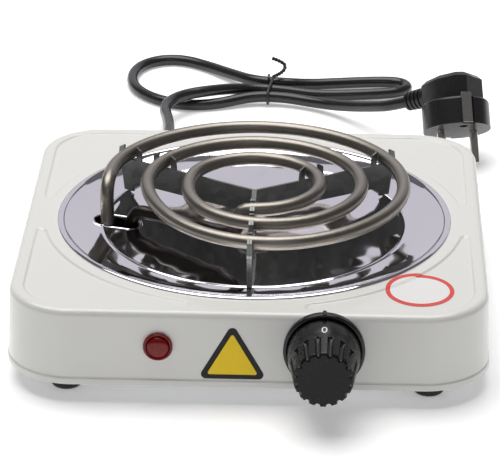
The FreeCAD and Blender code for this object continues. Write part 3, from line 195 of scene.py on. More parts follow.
def dress(piece, material, body, stands_for=()):
    """Gives a piece its finish, its body and the nodes that it stands for."""
    piece.data.materials.clear()
    piece.data.materials.append(material)
    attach(piece, body)
    if stands_for:
        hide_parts(*stands_for)
    return piece


cord_pvc = finish("cord_pvc", (0.011, 0.011, 0.012), 0.25, tint=(0.018, 0.017, 0.018), grain_scale=900.0, bump=0.10)
cord = nurbs_curve("cord", CORD_POINTS)
cord.data.bevel_depth = CORD_DIAMETER / 2
cord.data.bevel_resolution = 6
cord.data.use_fill_caps = True
dress(cord, cord_pvc, "casing", ["mains_cord"])


# ---------------------------------------------------------------------------------------------
# The casing: one deep-drawn sheet of steel with rounded corners, leaning walls and a hem.
# Four shallow pads are pressed into its top round the pan, and it is powder coated off-white.

shell_low, shell_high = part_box("top_shell")
MIDDLE_Y = (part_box("drip_pan")[0].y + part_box("drip_pan")[1].y) / 2
HALF_BODY = 0.1125
CORNER_RADIUS = 0.032
TOP_Z = shell_high.z
HEM_Z = shell_low.z
HEM_HEIGHT = 0.0032
HEM_STEP = 0.0004
WALL_LEAN = 0.0011 / (TOP_Z - HEM_Z)
EDGE_RADIUS = 0.003
SHEET = 0.0008
HOLE_RADIUS = 0.0931
PAD_DEPTH = 0.0008
PAD_BORDER = 0.1048
PAD_RING = 0.1015
PAD_TIP = (0.026, 0.018)
CASING_COLUMNS = 960


def grid_piece(name, points, around=True, loop=False, capped=False, sharp=35.0):
    """A mesh over rows of points: each row is a ring where around is set, rows close up where loop is set."""
    rows, columns = points.shape[:2]
    index = np.arange(rows * columns).reshape(rows, columns)
    ring_first, ring_last = index[0], index[-1]
    if around:
        index = np.hstack([index, index[:, :1]])
    if loop:
        index = np.vstack([index, index[:1]])
    quads = np.stack([index[:-1, :-1], index[:-1, 1:], index[1:, 1:], index[1:, :-1]], axis=-1)
    faces = quads.reshape(-1, 4).tolist()
    if capped:
        faces += [ring_first[::-1].tolist(), ring_last.tolist()]
    mesh = bpy.data.meshes.new(name)
    mesh.from_pydata(points.reshape(-1, 3).tolist(), [], faces)
    built = bmesh.new()
    built.from_mesh(mesh)
    bmesh.ops.recalc_face_normals(built, faces=built.faces)
    built.to_mesh(mesh)
    built.free()
    mesh.polygons.foreach_set("use_smooth", np.ones(len(mesh.polygons), bool))
    mesh.set_sharp_from_angle(angle=math.radians(sharp))
    piece = bpy.data.objects.new(name, mesh)
    bpy.context.scene.collection.objects.link(piece)
    return piece


def body_reach(turn, inward):
    """Distance from the middle to the rounded square, inset by inward, along the ray at each turn."""
    c, s = np.abs(np.cos(turn)), np.abs(np.sin(turn))
    half = HALF_BODY - inward
    centre = HALF_BODY - CORNER_RADIUS
    radius = CORNER_RADIUS - inward
    flat = half / np.maximum(c, s)
    on_flat = flat * np.minimum(c, s) <= centre
    bend = centre * (c + s) + np.sqrt(np.maximum(radius ** 2 - (centre * (c - s)) ** 2, 0.0))
    return np.where(on_flat, flat, bend)


def front_wall_y(z):
    """Y of the front wall's outer face at a height: the hem's face, moved in by the lean above it."""
    return -(HALF_BODY - HEM_STEP - WALL_LEAN * (z - HEM_Z)) + MIDDLE_Y


def soft_least(a, b, blend):
    """The smaller of two values, rounded over where they are nearly equal."""
    near = np.maximum(blend - np.abs(a - b), 0.0) / blend
    return np.minimum(a, b) - near * near * blend / 4


def pad_drop(x, y):
    """Depth pressed into the top at (x, y): full inside a pad's outline, with a rounded step at its edge."""
    turn = np.arctan2(y, x)
    radius = np.hypot(x, y)
    border = body_reach(turn, HALF_BODY - PAD_BORDER) - radius
    inside = soft_least(border * 0.9, radius - PAD_RING, 0.0020)
    inside = soft_least(inside, np.abs(x) - PAD_TIP[0], 0.0040)
    inside = soft_least(inside, np.abs(y) - PAD_TIP[1], 0.0040)
    share = np.clip((inside + 0.0002) / 0.0013, 0.0, 1.0)
    return PAD_DEPTH * share * share * (3 - 2 * share)


def casing():
    """Rings from the pan's hole out over the top, down the leaning wall, round the hem and back inside."""
    turn = np.linspace(0, 2 * np.pi, CASING_COLUMNS, endpoint=False)
    rings = [(np.full_like(turn, r), TOP_Z) for r in np.linspace(HOLE_RADIUS, PAD_RING - 0.0012, 5)]
    rings += [(np.full_like(turn, r), TOP_Z) for r in np.linspace(PAD_RING - 0.0006, PAD_RING + 0.0014, 7)]
    near = np.full_like(turn, PAD_RING + 0.0014)
    far = body_reach(turn, 0.0092)
    rings += [(near + (far - near) * k / 12, TOP_Z) for k in range(1, 13)]
    rings += [(body_reach(turn, inward), TOP_Z) for inward in np.linspace(0.0086, 0.0062, 9)]
    rings += [(body_reach(turn, inward), TOP_Z) for inward in (0.0056, 0.0050)]
    start = 0.0004 + WALL_LEAN * (TOP_Z - EDGE_RADIUS - HEM_Z) + EDGE_RADIUS
    for bend in np.radians(np.linspace(0, 88, 9)):
        inward = start - EDGE_RADIUS * math.sin(bend)
        rings.append((body_reach(turn, inward), TOP_Z - EDGE_RADIUS * (1 - math.cos(bend))))
    for z in (0.0418, 0.0400, 0.0340, 0.0280, 0.0220, 0.0165, 0.0134):
        rings.append((body_reach(turn, HEM_STEP + WALL_LEAN * (z - HEM_Z)), z))
    hem_top = HEM_Z + HEM_HEIGHT
    for inward, z in ((0.00050, hem_top + 0.0003), (0.00032, hem_top + 0.0001), (0.00012, hem_top - 0.0001),
                      (0.00002, hem_top - 0.0004), (0.0, hem_top - 0.0009), (0.0, HEM_Z + 0.0016),
                      (0.0, HEM_Z + 0.0007), (0.00008, HEM_Z + 0.0003), (0.0003, HEM_Z + 0.00005),
                      (0.0006, HEM_Z), (0.0009, HEM_Z + 0.0001), (0.0011, HEM_Z + 0.0006)):
        rings.append((body_reach(turn, inward), z))
    for z in (0.012, 0.020, 0.034, 0.0420):
        rings.append((body_reach(turn, HEM_STEP + SHEET + WALL_LEAN * (z - HEM_Z)), z))
    under = TOP_Z - PAD_DEPTH - SHEET - 0.0001
    rings += [(body_reach(turn, 0.0040), under - 0.0004), (body_reach(turn, 0.0070), under)]
    far = body_reach(turn, 0.0070)
    near = np.full_like(turn, HOLE_RADIUS)
    rings += [(far + (near - far) * share, under) for share in (0.2, 0.4, 0.6, 0.8, 0.95, 1.0)]
    reach = np.array([ring[0] for ring in rings])
    height = np.array([np.full_like(turn, ring[1]) for ring in rings])
    x, y = reach * np.cos(turn), reach * np.sin(turn)
    height = np.where(height > TOP_Z - 1e-9, height - pad_drop(x, y), height)
    return np.stack([x, y + MIDDLE_Y, height], axis=-1)


# Off-white powder coat: a smooth film with faint orange peel, and a slightly warm, uneven tone.
casing_paint = finish("powder_coat", (0.700, 0.706, 0.672), 0.30, tint=(0.715, 0.715, 0.685), tint_scale=9.0,
                      grain_scale=420.0, spread=0.05, bump=0.10, coat=0.25)
dress(grid_piece("casing", casing(), loop=True, sharp=50.0), casing_paint, "casing", ["top_shell"])


# ---------------------------------------------------------------------------------------------
# The drip pan: thin steel spun to a rolled rim, a shallow cone, a bead and a dish, then chromed.
# An oval hole with a turned-down lip lets the heating tube's two ends through.

PAN_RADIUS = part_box("drip_pan")[1].x
PAN_RIM = 0.0032
CONE_TOP_RADIUS = PAN_RADIUS - PAN_RIM
BEAD_RADIUS = 0.0736
BEAD_Z = TOP_Z - 0.0036
DISH_DEPTH = 0.0050
PAN_SHEET = 0.0005
PAN_HOLE_X = -0.067
PAN_HOLE = (0.023, 0.014)
RIPPLE_DEPTH = 0.00006


def pan_height(radius):
    """Height of the pan's upper face: a cone steeper near the rim, a small bead, and a dish like a bowl."""
    share = np.clip((radius - BEAD_RADIUS) / (CONE_TOP_RADIUS - BEAD_RADIUS), 0.0, 1.0)
    cone = BEAD_Z + 0.0035 * share ** 1.9
    dish = BEAD_Z - DISH_DEPTH * (1 - (radius / BEAD_RADIUS) ** 2)
    bead = 0.00045 * np.exp(-((radius - BEAD_RADIUS) / 0.0008) ** 2)
    return np.where(radius >= BEAD_RADIUS, cone, dish) + bead


def spun_ripple(x, y):
    """Slight waves left in thin spun sheet: two crossed sine waves, fading out towards the rim."""
    waves = np.sin(310 * x + 1.3) * np.cos(270 * y + 0.4) + 0.6 * np.sin(150 * x - 190 * y + 2.0)
    return RIPPLE_DEPTH * waves * np.clip((0.088 - np.hypot(x, y)) / 0.010, 0.0, 1.0)


def lathed(profile, columns):
    """Rings of a profile of (radius, height) rows turned about +Z."""
    turn = np.linspace(0, 2 * np.pi, columns, endpoint=False)
    profile = np.asarray(profile, float)
    rings = np.empty((len(profile), columns, 3))
    rings[..., 0] = profile[:, :1] * np.cos(turn)
    rings[..., 1] = profile[:, :1] * np.sin(turn)
    rings[..., 2] = profile[:, 1:2]
    return rings


def pan_profile():
    """Rim as half an ellipse, then cone, bead and dish to the middle, and the same sheet's underside back."""
    bend = np.radians(np.linspace(-10, 180, 16))
    rim_middle = PAN_RADIUS - PAN_RIM / 2
    rim = np.stack([rim_middle + PAN_RIM / 2 * np.cos(bend), TOP_Z + 0.0001 + 0.00092 * np.sin(bend)], axis=-1)
    cone = np.linspace(CONE_TOP_RADIUS - 0.0003, BEAD_RADIUS + 0.0022, 12)
    bead = np.linspace(BEAD_RADIUS + 0.0018, BEAD_RADIUS - 0.0018, 15)
    dish = np.linspace(BEAD_RADIUS - 0.0026, 0.0008, 34)
    radii = np.concatenate([cone, bead, dish])
    upper = np.stack([radii, pan_height(radii)], axis=-1)
    low = radii[::-3]
    under = np.stack([low, pan_height(low) - PAN_SHEET], axis=-1)
    back = [(CONE_TOP_RADIUS - 0.0002, TOP_Z - 0.0006), (CONE_TOP_RADIUS + 0.0002, TOP_Z),
            (PAN_RADIUS - 0.0002, TOP_Z)]
    return np.vstack([rim, upper, under, back])


def oval(width, length, sides):
    """Points of a slot's outline about the origin, long side along X, evenly spread by angle at its ends."""
    turn = np.linspace(0, 2 * np.pi, sides, endpoint=False)
    shift = (width - length) / 2 * np.sign(np.cos(turn))
    return np.stack([length / 2 * np.cos(turn) + shift, length / 2 * np.sin(turn)], axis=-1)


def cut_out(piece, cutter):
    """The piece with a cutter's space taken out of it, and the cutter removed."""
    cut = piece.modifiers.new("cut", "BOOLEAN")
    cut.operation = "DIFFERENCE"
    cut.solver = "EXACT"
    cut.object = cutter
    evaluated = piece.evaluated_get(bpy.context.evaluated_depsgraph_get())
    mesh = bpy.data.meshes.new_from_object(evaluated)
    piece.modifiers.clear()
    piece.data = mesh
    mesh.polygons.foreach_set("use_smooth", np.ones(len(mesh.polygons), bool))
    mesh.set_sharp_from_angle(angle=math.radians(35))
    bpy.data.objects.remove(cutter)
    return piece


def pan_lip():
    """A round lip along the hole's edge, following the pan's height, with a short skirt below."""
    outline = oval(PAN_HOLE[0] + 0.0006, PAN_HOLE[1] + 0.0006, 96)
    bend = np.radians(np.array([-90, -60, -30, 0, 30, 60, 90, 120, 150, 180, 180]))
    out = 0.0007 * np.cos(bend)
    rise = 0.0004 * np.sin(bend)
    rise[-1] = -0.0016
    unit = oval(2.0, 2.0, 96)
    x = PAN_HOLE_X + outline[None, :, 0] + out[:, None] * unit[None, :, 0]
    y = outline[None, :, 1] + out[:, None] * unit[None, :, 1]
    z = pan_height(np.hypot(x, y)) + spun_ripple(x, y) + rise[:, None]
    return np.stack([x, y + MIDDLE_Y, z], axis=-1)


# Bright nickel-chrome plate: a near mirror with a lavender cast and a little smear from wiping.
pan_plate = finish("pan_chrome_plate", (0.80, 0.785, 0.82), 0.055, metallic=1.0, tint=(0.74, 0.73, 0.765),
                   tint_scale=14.0, grain_scale=160.0, spread=0.03, bump=0.012)
pan_points = lathed(pan_profile(), 288)
pan_points[..., 2] += spun_ripple(pan_points[..., 0], pan_points[..., 1])
pan_points[..., 1] += MIDDLE_Y
pan = grid_piece("pan", pan_points, loop=True)
slot_outline = oval(*PAN_HOLE, 64)
slot_rows = [np.column_stack([slot_outline[:, 0] + PAN_HOLE_X, slot_outline[:, 1] + MIDDLE_Y, np.full(64, z)])
             for z in (0.025, 0.060)]
pan = cut_out(pan, grid_piece("hole_cutter", np.array(slot_rows), capped=True))
dress(pan, pan_plate, "casing", ["drip_pan"])
dress(grid_piece("pan_hole_lip", pan_lip(), loop=True), pan_plate, "casing")


# ---------------------------------------------------------------------------------------------
# The heating element: one steel sheathed tube, wound flat in three turns on the spider.
# Both cold ends go down through the pan's hole, and the inner end bends sharply back under.

TUBE_RADIUS = 0.0033
COIL_Z = TOP_Z + 0.0173
COIL_OUTER = 0.0724
COIL_PITCH = 0.0204
TURN_STARTS = (250.0, 595.0)
TURN_ENDS = (345.0, 722.0)
COIL_END = 978.0
COIL_STEP = 18.0


def turn_radius(travel):
    """Coil radius after a travel in degrees from -X: flat turns with two smooth shifts inwards."""
    radius = np.full_like(travel, COIL_OUTER)
    for start, end in zip(TURN_STARTS, TURN_ENDS):
        share = np.clip((travel - start) / (end - start), 0.0, 1.0)
        radius = radius - COIL_PITCH * share * share * (3 - 2 * share)
    return radius


def coil_points():
    """Up out of the hole, round the turns, then down at the middle and back under to the hole."""
    travel = np.linspace(COIL_STEP, COIL_END, round((COIL_END - COIL_STEP) / COIL_STEP) + 1)
    radius = turn_radius(travel) / math.cos(math.radians(COIL_STEP / 2))
    turn = np.radians(180.0 - travel)
    spiral = np.stack([radius * np.cos(turn), radius * np.sin(turn), np.full_like(radius, COIL_Z)], axis=-1)
    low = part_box("spider_left_strip")[1].z - 0.0190 + 0.0036 - TUBE_RADIUS
    start = [(-0.0714, -0.0032, 0.025), (-0.0714, -0.0032, 0.043), (-0.0717, -0.0034, COIL_Z)]
    inner = [(-0.0068, -0.0320, COIL_Z), (-0.0068, -0.0305, low + 0.0030), (-0.0160, -0.0245, low),
             (-0.0300, -0.0155, low), (-0.0460, -0.0065, low), (-0.0616, 0.0014, low - 0.0004),
             (-0.0616, 0.0014, 0.025)]
    return np.vstack([start, spiral, inner]) + np.array([0.0, MIDDLE_Y, 0.0])


def spline_line(points, spacing):
    """Evenly spaced points read from the NURBS spline of the given control points."""
    guide = nurbs_curve("guide", points)
    guide.data.splines[0].resolution_u = 24
    mesh = bpy.data.meshes.new_from_object(guide)
    line = np.empty(len(mesh.vertices) * 3)
    mesh.vertices.foreach_get("co", line)
    line = line.reshape(-1, 3)
    bpy.data.objects.remove(guide)
    travelled = np.concatenate([[0.0], np.cumsum(np.linalg.norm(np.diff(line, axis=0), axis=1))])
    even = np.linspace(0.0, travelled[-1], max(int(travelled[-1] / spacing), 8))
    return np.stack([np.interp(even, travelled, line[:, k]) for k in range(3)], axis=-1)


def tube_rings(line, radius, sides, side_hint):
    """A round section carried along a line; side_hint is never along the line, and sets where it starts."""
    ahead = np.gradient(line, axis=0)
    ahead /= np.linalg.norm(ahead, axis=1, keepdims=True)
    hint = np.broadcast_to(side_hint, line.shape)
    side = hint - ahead * np.sum(hint * ahead, axis=1, keepdims=True)
    side /= np.linalg.norm(side, axis=1, keepdims=True)
    upward = np.cross(ahead, side)
    turn = np.linspace(0, 2 * np.pi, sides, endpoint=False)
    section = side[:, None] * np.cos(turn)[None, :, None] + upward[:, None] * np.sin(turn)[None, :, None]
    return line[:, None] + section * np.broadcast_to(np.atleast_1d(radius), (len(line),))[:, None, None]


def coil():
    """The tube's rings, with a few shallow wrinkles pressed in where the inner end bends sharply down."""
    line = spline_line(coil_points(), 0.0009)
    about = line - np.array([0.0, MIDDLE_Y, 0.0])
    reach = np.hypot(about[:, 0], about[:, 1])
    outward = about * np.array([1.0, 1.0, 0.0]) / np.maximum(reach, 0.02)[:, None]
    inner_end = np.clip((np.arange(len(line)) / len(line) - 0.86) / 0.02, 0.0, 1.0)[:, None]
    hint = outward * (1 - inner_end) + np.array([0.0, -1.0, 0.0]) * inner_end
    bend = np.linalg.norm(about - np.array([-0.0052, -0.0318, COIL_Z - 0.0020]), axis=1)
    wrinkle = 0.060 * np.exp(-(bend / 0.0052) ** 2) * np.sin(np.arange(len(line)) * 2 * np.pi / 2.6)
    return tube_rings(line, TUBE_RADIUS * (1 + wrinkle), 28, hint)


def node_of(material, kind):
    """The material's first node of a kind."""
    return next(node for node in material.node_tree.nodes if node.bl_idname == kind)


def heat_tint_and_painted_shade_sheath():
    """Drawn alloy sheath: satin grey-brown with straw tints, and painted shade: dark on the return under the spider,
    where the turns above shade it.
    """
    material = finish("sheath", (0.190, 0.172, 0.148), 0.37, metallic=1.0, tint=(0.320, 0.298, 0.265),
                      tint_scale=26.0, grain_scale=700.0, spread=0.09, bump=0.16)
    nodes, links = material.node_tree.nodes, material.node_tree.links
    shader = nodes["Principled BSDF"]
    tones = node_of(material, "ShaderNodeMix")
    place = node_of(material, "ShaderNodeTexCoord")
    split = nodes.new("ShaderNodeSeparateXYZ")
    links.new(place.outputs["Object"], split.inputs["Vector"])
    # Painted shade: a mask that is full on the tube well below the turns and in from the hole's outer edge, which is
    # the return lying in the turns' shadow.
    low = nodes.new("ShaderNodeMapRange")
    low.inputs["From Min"].default_value = COIL_Z - 0.006
    low.inputs["From Max"].default_value = COIL_Z - 0.012
    links.new(split.outputs["Z"], low.inputs["Value"])
    inner = nodes.new("ShaderNodeMapRange")
    inner.inputs["From Min"].default_value = -0.0690
    inner.inputs["From Max"].default_value = -0.0660
    links.new(split.outputs["X"], inner.inputs["Value"])
    shade_mask = nodes.new("ShaderNodeMath")
    shade_mask.operation = "MULTIPLY"
    links.new(low.outputs["Result"], shade_mask.inputs[0])
    links.new(inner.outputs["Result"], shade_mask.inputs[1])
    # Painted shade: a near-black brown mixed over the sheath's tones where the shade mask is set.
    painted_shade = nodes.new("ShaderNodeMix")
    painted_shade.data_type = "RGBA"
    painted_shade.inputs["B"].default_value = (0.050, 0.044, 0.040, 1.0)
    links.new(shade_mask.outputs["Value"], painted_shade.inputs["Factor"])
    links.new(tones.outputs["Result"], painted_shade.inputs["A"])
    links.new(painted_shade.outputs["Result"], shader.inputs["Base Color"])
    return material


sheath = heat_tint_and_painted_shade_sheath()
dress(grid_piece("element", coil(), capped=True, sharp=60.0), sheath, "casing", ["heating_coil"])


# ---------------------------------------------------------------------------------------------
# The spider: two strips of galvanised sheet, bent to a Y and riveted along the doubled front arm.
# Lanced prongs along the top edges hold the tube's turns.

def softened(node, name, width, flat_angle=0.5):
    """A copy of a CAD piece with its corners joined and its edges broken by a narrow round."""
    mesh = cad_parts[node].data.copy()
    mesh.name = name
    normals = mesh.attributes.get("custom_normal")
    if normals is not None:
        mesh.attributes.remove(normals)
    built = bmesh.new()
    built.from_mesh(mesh)
    bmesh.ops.remove_doubles(built, verts=built.verts, dist=1e-6)
    bmesh.ops.dissolve_limit(built, angle_limit=math.radians(flat_angle), verts=built.verts, edges=built.edges)
    built.to_mesh(mesh)
    built.free()
    mesh.polygons.foreach_set("use_smooth", np.ones(len(mesh.polygons), bool))
    mesh.set_sharp_from_angle(angle=math.radians(40))
    piece = bpy.data.objects.new(name, mesh)
    bpy.context.scene.collection.objects.link(piece)
    edge = piece.modifiers.new("edge", "BEVEL")
    edge.width = width
    edge.segments = 2
    edge.limit_method = "ANGLE"
    edge.angle_limit = math.radians(40)
    edge.harden_normals = True
    edge.use_clamp_overlap = True
    return piece


def galvanised():
    """Zinc on sheet steel: flat crystals in slightly different greys, dulled and a little scuffed."""
    material = finish("galvanised_sheet", (0.150, 0.156, 0.148), 0.40, metallic=0.85, tint=(0.240, 0.250, 0.238),
                      tint_scale=90.0, grain_scale=600.0, spread=0.10, bump=0.10)
    nodes, links = material.node_tree.nodes, material.node_tree.links
    crystals = nodes.new("ShaderNodeTexVoronoi")
    crystals.inputs["Scale"].default_value = 210.0
    place = node_of(material, "ShaderNodeTexCoord")
    links.new(place.outputs["Object"], crystals.inputs["Vector"])
    tones = node_of(material, "ShaderNodeMix")
    links.new(crystals.outputs["Color"], tones.inputs["Factor"])
    return material


spider_zinc = galvanised()
for node in ("spider_left_strip", "spider_right_strip", "spider_rivets"):
    strip = softened(node, node.replace("spider", "carrier"), 0.00018)
    dress(strip, spider_zinc, "casing", [node])


# ---------------------------------------------------------------------------------------------
# The dial ring: a fixed moulded ring on the front wall with a small raised mark at the top.
# It is glossy black phenolic, and its raised rim frames the knob.

KNOB_X = 0.0354
KNOB_Z = 0.0289
WALL_Y = front_wall_y(KNOB_Z)
RING_RADIUS = 0.0187
RING_THICKNESS = 0.0026


def facing_front(rings, x, y, z):
    """Rings lathed about +Z, laid over so that their height runs towards -Y, and placed."""
    return np.stack([rings[..., 0] + x, y - rings[..., 2], rings[..., 1] + z], axis=-1)


def ring_profile():
    """Outline of the ring: back, rounded outer rim, shallow channel and a bore behind the knob."""
    r, t = RING_RADIUS, RING_THICKNESS
    bend = np.radians(np.linspace(0, 90, 6))
    outer = np.stack([r - 0.0009 + 0.0009 * np.cos(bend), t - 0.0009 + 0.0009 * np.sin(bend)], axis=-1)
    inner = np.stack([r - 0.0013 - 0.0006 * np.sin(bend), t - 0.0006 + 0.0006 * np.cos(bend)], axis=-1)
    return np.vstack([[(0.0050, -0.0010), (r - 0.0002, -0.0010), (r, -0.0008)], outer, inner,
                      [(r - 0.0021, 0.0013), (r - 0.0026, 0.0011), (0.0052, 0.0011), (0.0050, 0.0009)]])


def pointer():
    """The raised mark: a short round bar from the wall over the ring, with a domed end."""
    bend = np.radians(np.linspace(0, 84, 6))
    profile = [(0.0011, -0.0005)] + [(0.0011 * math.cos(b), 0.0030 + 0.0008 * math.sin(b)) for b in bend]
    return facing_front(lathed(profile, 24), KNOB_X, WALL_Y, KNOB_Z + RING_RADIUS - 0.0001)


gloss_black = finish("black_moulding", (0.0045, 0.0045, 0.0048), 0.16, tint=(0.008, 0.0075, 0.0075), tint_scale=40.0,
                     grain_scale=900.0, spread=0.05, bump=0.03, specular=0.4)
ring_points = facing_front(lathed(ring_profile(), 160), KNOB_X, WALL_Y, KNOB_Z)
dress(grid_piece("ring", ring_points, loop=True), gloss_black, "casing", ["dial_ring"])
dress(grid_piece("ring_mark", pointer(), capped=True), gloss_black, "casing")


# ---------------------------------------------------------------------------------------------
# The knob: one black moulding with a smooth bell skirt and a tapered grip with sixteen flutes.
# Its flat face is satin, and the figures on the skirt are printed in white.

KNOB_BACK = RING_THICKNESS + 0.0007
KNOB_REACH = 0.0310
SKIRT_RADIUS = 0.0167
GRIP_RADIUS = 0.0156
NOSE_RADIUS = 0.0134
NOSE_EDGE = 0.0014
SKIRT_REACH = 0.0140
FLUTES = 16
FLUTE_DEPTH = 0.00125
FLUTE_SHARE = 0.50
FLUTE_START = 0.0170
FIGURE_SIZE = 0.0062
FIGURE_REACH = 0.0122


def knob_radius(reach):
    """Radius of the smooth form: the skirt closes in like a bell and the grip tapers in a straight line."""
    on_skirt = np.clip((reach - KNOB_BACK) / (SKIRT_REACH - KNOB_BACK), 0.0, 1.0)
    on_grip = np.clip((reach - SKIRT_REACH) / (KNOB_REACH - SKIRT_REACH), 0.0, 1.0)
    return SKIRT_RADIUS - (SKIRT_RADIUS - GRIP_RADIUS) * on_skirt ** 2 - (GRIP_RADIUS - NOSE_RADIUS) * on_grip


def knob():
    """Rings from the hollow back over the skirt and along the grip, with scallops cut between ribs.

    The scallops run out at the rounded nose: its last ring is cut a little less, and the flat face not at all.
    """
    columns = FLUTES * 24
    turn = np.linspace(0, 2 * np.pi, columns, endpoint=False)
    reach = np.concatenate([[KNOB_BACK, KNOB_BACK + 0.0002, KNOB_BACK + 0.0005], np.linspace(0.0045, 0.0165, 16),
                            np.linspace(0.0169, 0.0209, 13), np.linspace(0.0216, KNOB_REACH - 0.0016, 10)])
    radius = knob_radius(reach)
    radius[0] -= 0.0004
    radius[1] -= 0.0001
    bend = np.radians(np.linspace(15, 90, 7))
    nose_reach = KNOB_REACH - NOSE_EDGE + NOSE_EDGE * np.sin(bend)
    nose_radius = knob_radius(np.array([KNOB_REACH - NOSE_EDGE])) - NOSE_EDGE * (1 - np.cos(bend))
    reach = np.concatenate([reach, nose_reach, [KNOB_REACH, KNOB_REACH - 0.00005]])
    radius = np.concatenate([radius, nose_radius, [nose_radius[-1] - 0.0012, 0.0010]])
    start = np.clip((reach - FLUTE_START) / 0.0036, 0.0, 1.0)
    deep = FLUTE_DEPTH * np.sqrt(start * (2 - start))
    deep[-2:] = 0.0
    deep[-3] *= 0.85
    across = np.abs((turn * FLUTES / (2 * np.pi)) % 1.0 - 0.5) / 0.5
    scallop = np.sqrt(np.clip(1 - (across / FLUTE_SHARE) ** 2, 0.0, 1.0))
    out = radius[:, None] - deep[:, None] * scallop[None, :]
    back_reach = np.array([KNOB_BACK + 0.0090, KNOB_BACK + 0.0088, KNOB_BACK])
    back_radius = np.array([0.0020, SKIRT_RADIUS - 0.0024, SKIRT_RADIUS - 0.0018])
    out = np.vstack([np.repeat(back_radius[:, None], columns, axis=1), out])
    reach = np.concatenate([back_reach, reach])
    rings = np.stack([out * np.sin(turn), np.broadcast_to(WALL_Y - reach[:, None], out.shape), out * np.cos(turn)],
                     axis=-1)
    return rings + np.array([KNOB_X, 0.0, KNOB_Z])


def figure(text, angle, size, reach):
    """A printed figure wrapped on the skirt: across becomes angle, up runs to the wall, and depth is outwards."""
    font = bpy.data.curves.new("figure", "FONT")
    font.body = text
    font.size = size
    font.align_x = "CENTER"
    font.align_y = "CENTER"
    font.extrude = 0.00005
    font.resolution_u = 6
    holder = bpy.data.objects.new("figure_holder", font)
    bpy.context.scene.collection.objects.link(holder)
    mesh = bpy.data.meshes.new_from_object(holder.evaluated_get(bpy.context.evaluated_depsgraph_get()))
    bpy.data.objects.remove(holder)
    flat = np.empty(len(mesh.vertices) * 3)
    mesh.vertices.foreach_get("co", flat)
    flat = flat.reshape(-1, 3)
    along = reach - flat[:, 1]
    radius = knob_radius(along) + flat[:, 2]
    turn = math.radians(angle) + flat[:, 0] / SKIRT_RADIUS
    wrapped = np.stack([KNOB_X + radius * np.sin(turn), WALL_Y - along, KNOB_Z + radius * np.cos(turn)], axis=-1)
    mesh.vertices.foreach_set("co", wrapped.ravel())
    piece = bpy.data.objects.new("figure_" + text, mesh)
    bpy.context.scene.collection.objects.link(piece)
    return piece


knob_plastic = finish("knob_moulding", (0.0045, 0.0045, 0.0052), 0.27, tint=(0.0070, 0.0070, 0.0078),
                      grain_scale=1100.0, spread=0.05, bump=0.015, specular=0.22)
print_white = finish("printed_white", (0.80, 0.80, 0.80), 0.45, tint=(0.72, 0.72, 0.72), bump=0.05)
dress(grid_piece("control_knob", knob(), capped=True, sharp=45.0), knob_plastic, "knob_set", ["knob"])
for text, angle in (("0", 0.0), ("1", 100.0), ("2", 140.0), ("3", 180.0), ("4", 220.0), ("5", 260.0)):
    dress(figure(text, angle, FIGURE_SIZE, FIGURE_REACH), print_white, "knob_set")


# ---------------------------------------------------------------------------------------------
# The indicator lamp: a clear red moulded window, pushed through the wall over a neon bulb.
# Its front is a flanged rim with a low dome.

LAMP_X = -0.0404
LAMP_Z = 0.0291
LAMP_WALL_Y = front_wall_y(LAMP_Z)


def lens_profile():
    """Outline of the window: hollow back, flange with a rounded edge, a groove and a low dome."""
    bend = np.radians(np.linspace(0, 90, 6))
    rim = np.stack([0.00625 + 0.0005 * np.cos(bend), 0.0011 + 0.0005 * np.sin(bend)], axis=-1)
    dome_radius = np.linspace(0.0050, 0.0004, 12)
    dome = np.stack([dome_radius, 0.0015 + 0.0016 * np.sqrt(1 - (dome_radius / 0.00505) ** 2)], axis=-1)
    return np.vstack([[(0.0003, 0.0002), (0.0043, 0.0002), (0.0043, -0.0050), (0.0052, -0.0050), (0.0052, -0.0002),
                       (0.00665, -0.0002), (0.00675, 0.0)], rim, [(0.0056, 0.0013), (0.0053, 0.0007)], dome])


def red_window():
    """Transparent red acrylic, deep in the dome and glossy."""
    material = finish("red_acrylic", (0.34, 0.006, 0.007), 0.14, tint=(0.055, 0.001, 0.002), tint_scale=420.0,
                      spread=0.05, bump=0.02, specular=0.30)
    material.node_tree.nodes["Principled BSDF"].inputs["Transmission Weight"].default_value = 0.15
    return material


lens_points = facing_front(lathed(lens_profile(), 72), LAMP_X, LAMP_WALL_Y, LAMP_Z)
dress(grid_piece("lamp_window", lens_points, capped=True), red_window(), "casing", ["lamp_lens"])


# ---------------------------------------------------------------------------------------------
# The labels: printed films stuck on the paint, a triangle in front and an oval on the top.
# Both are plain: a dark border on yellow, and a red line on white.

def flat_film(outline, thickness):
    """A thin plate over a closed outline of (across, up) points, with its thickness outwards."""
    count = len(outline)
    rows = np.zeros((2, count, 3))
    rows[:, :, 0] = outline[:, 0]
    rows[:, :, 1] = outline[:, 1]
    rows[1, :, 2] = thickness
    return rows


def rounded_polygon(corners, radius, steps=8):
    """A polygon's outline with each corner replaced by an arc of the radius."""
    corners = np.asarray(corners, float)
    before = np.roll(corners, 1, axis=0) - corners
    after = np.roll(corners, -1, axis=0) - corners
    before /= np.linalg.norm(before, axis=1, keepdims=True)
    after /= np.linalg.norm(after, axis=1, keepdims=True)
    half = np.arccos(np.clip(np.sum(before * after, axis=1), -1, 1)) / 2
    inward = before + after
    inward /= np.linalg.norm(inward, axis=1, keepdims=True)
    centres = corners + inward * (radius / np.sin(half))[:, None]
    first = corners + before * (radius / np.tan(half))[:, None] - centres
    last = corners + after * (radius / np.tan(half))[:, None] - centres
    share = np.linspace(0, 1, steps)[None, :, None]
    sweep = np.arccos(np.clip(np.sum(first * last, axis=1) / radius ** 2, -1, 1))[:, None, None]
    arc = (np.sin((1 - share) * sweep) * first[:, None] + np.sin(share * sweep) * last[:, None]) / np.sin(sweep)
    return (centres[:, None] + arc).reshape(-1, 2)


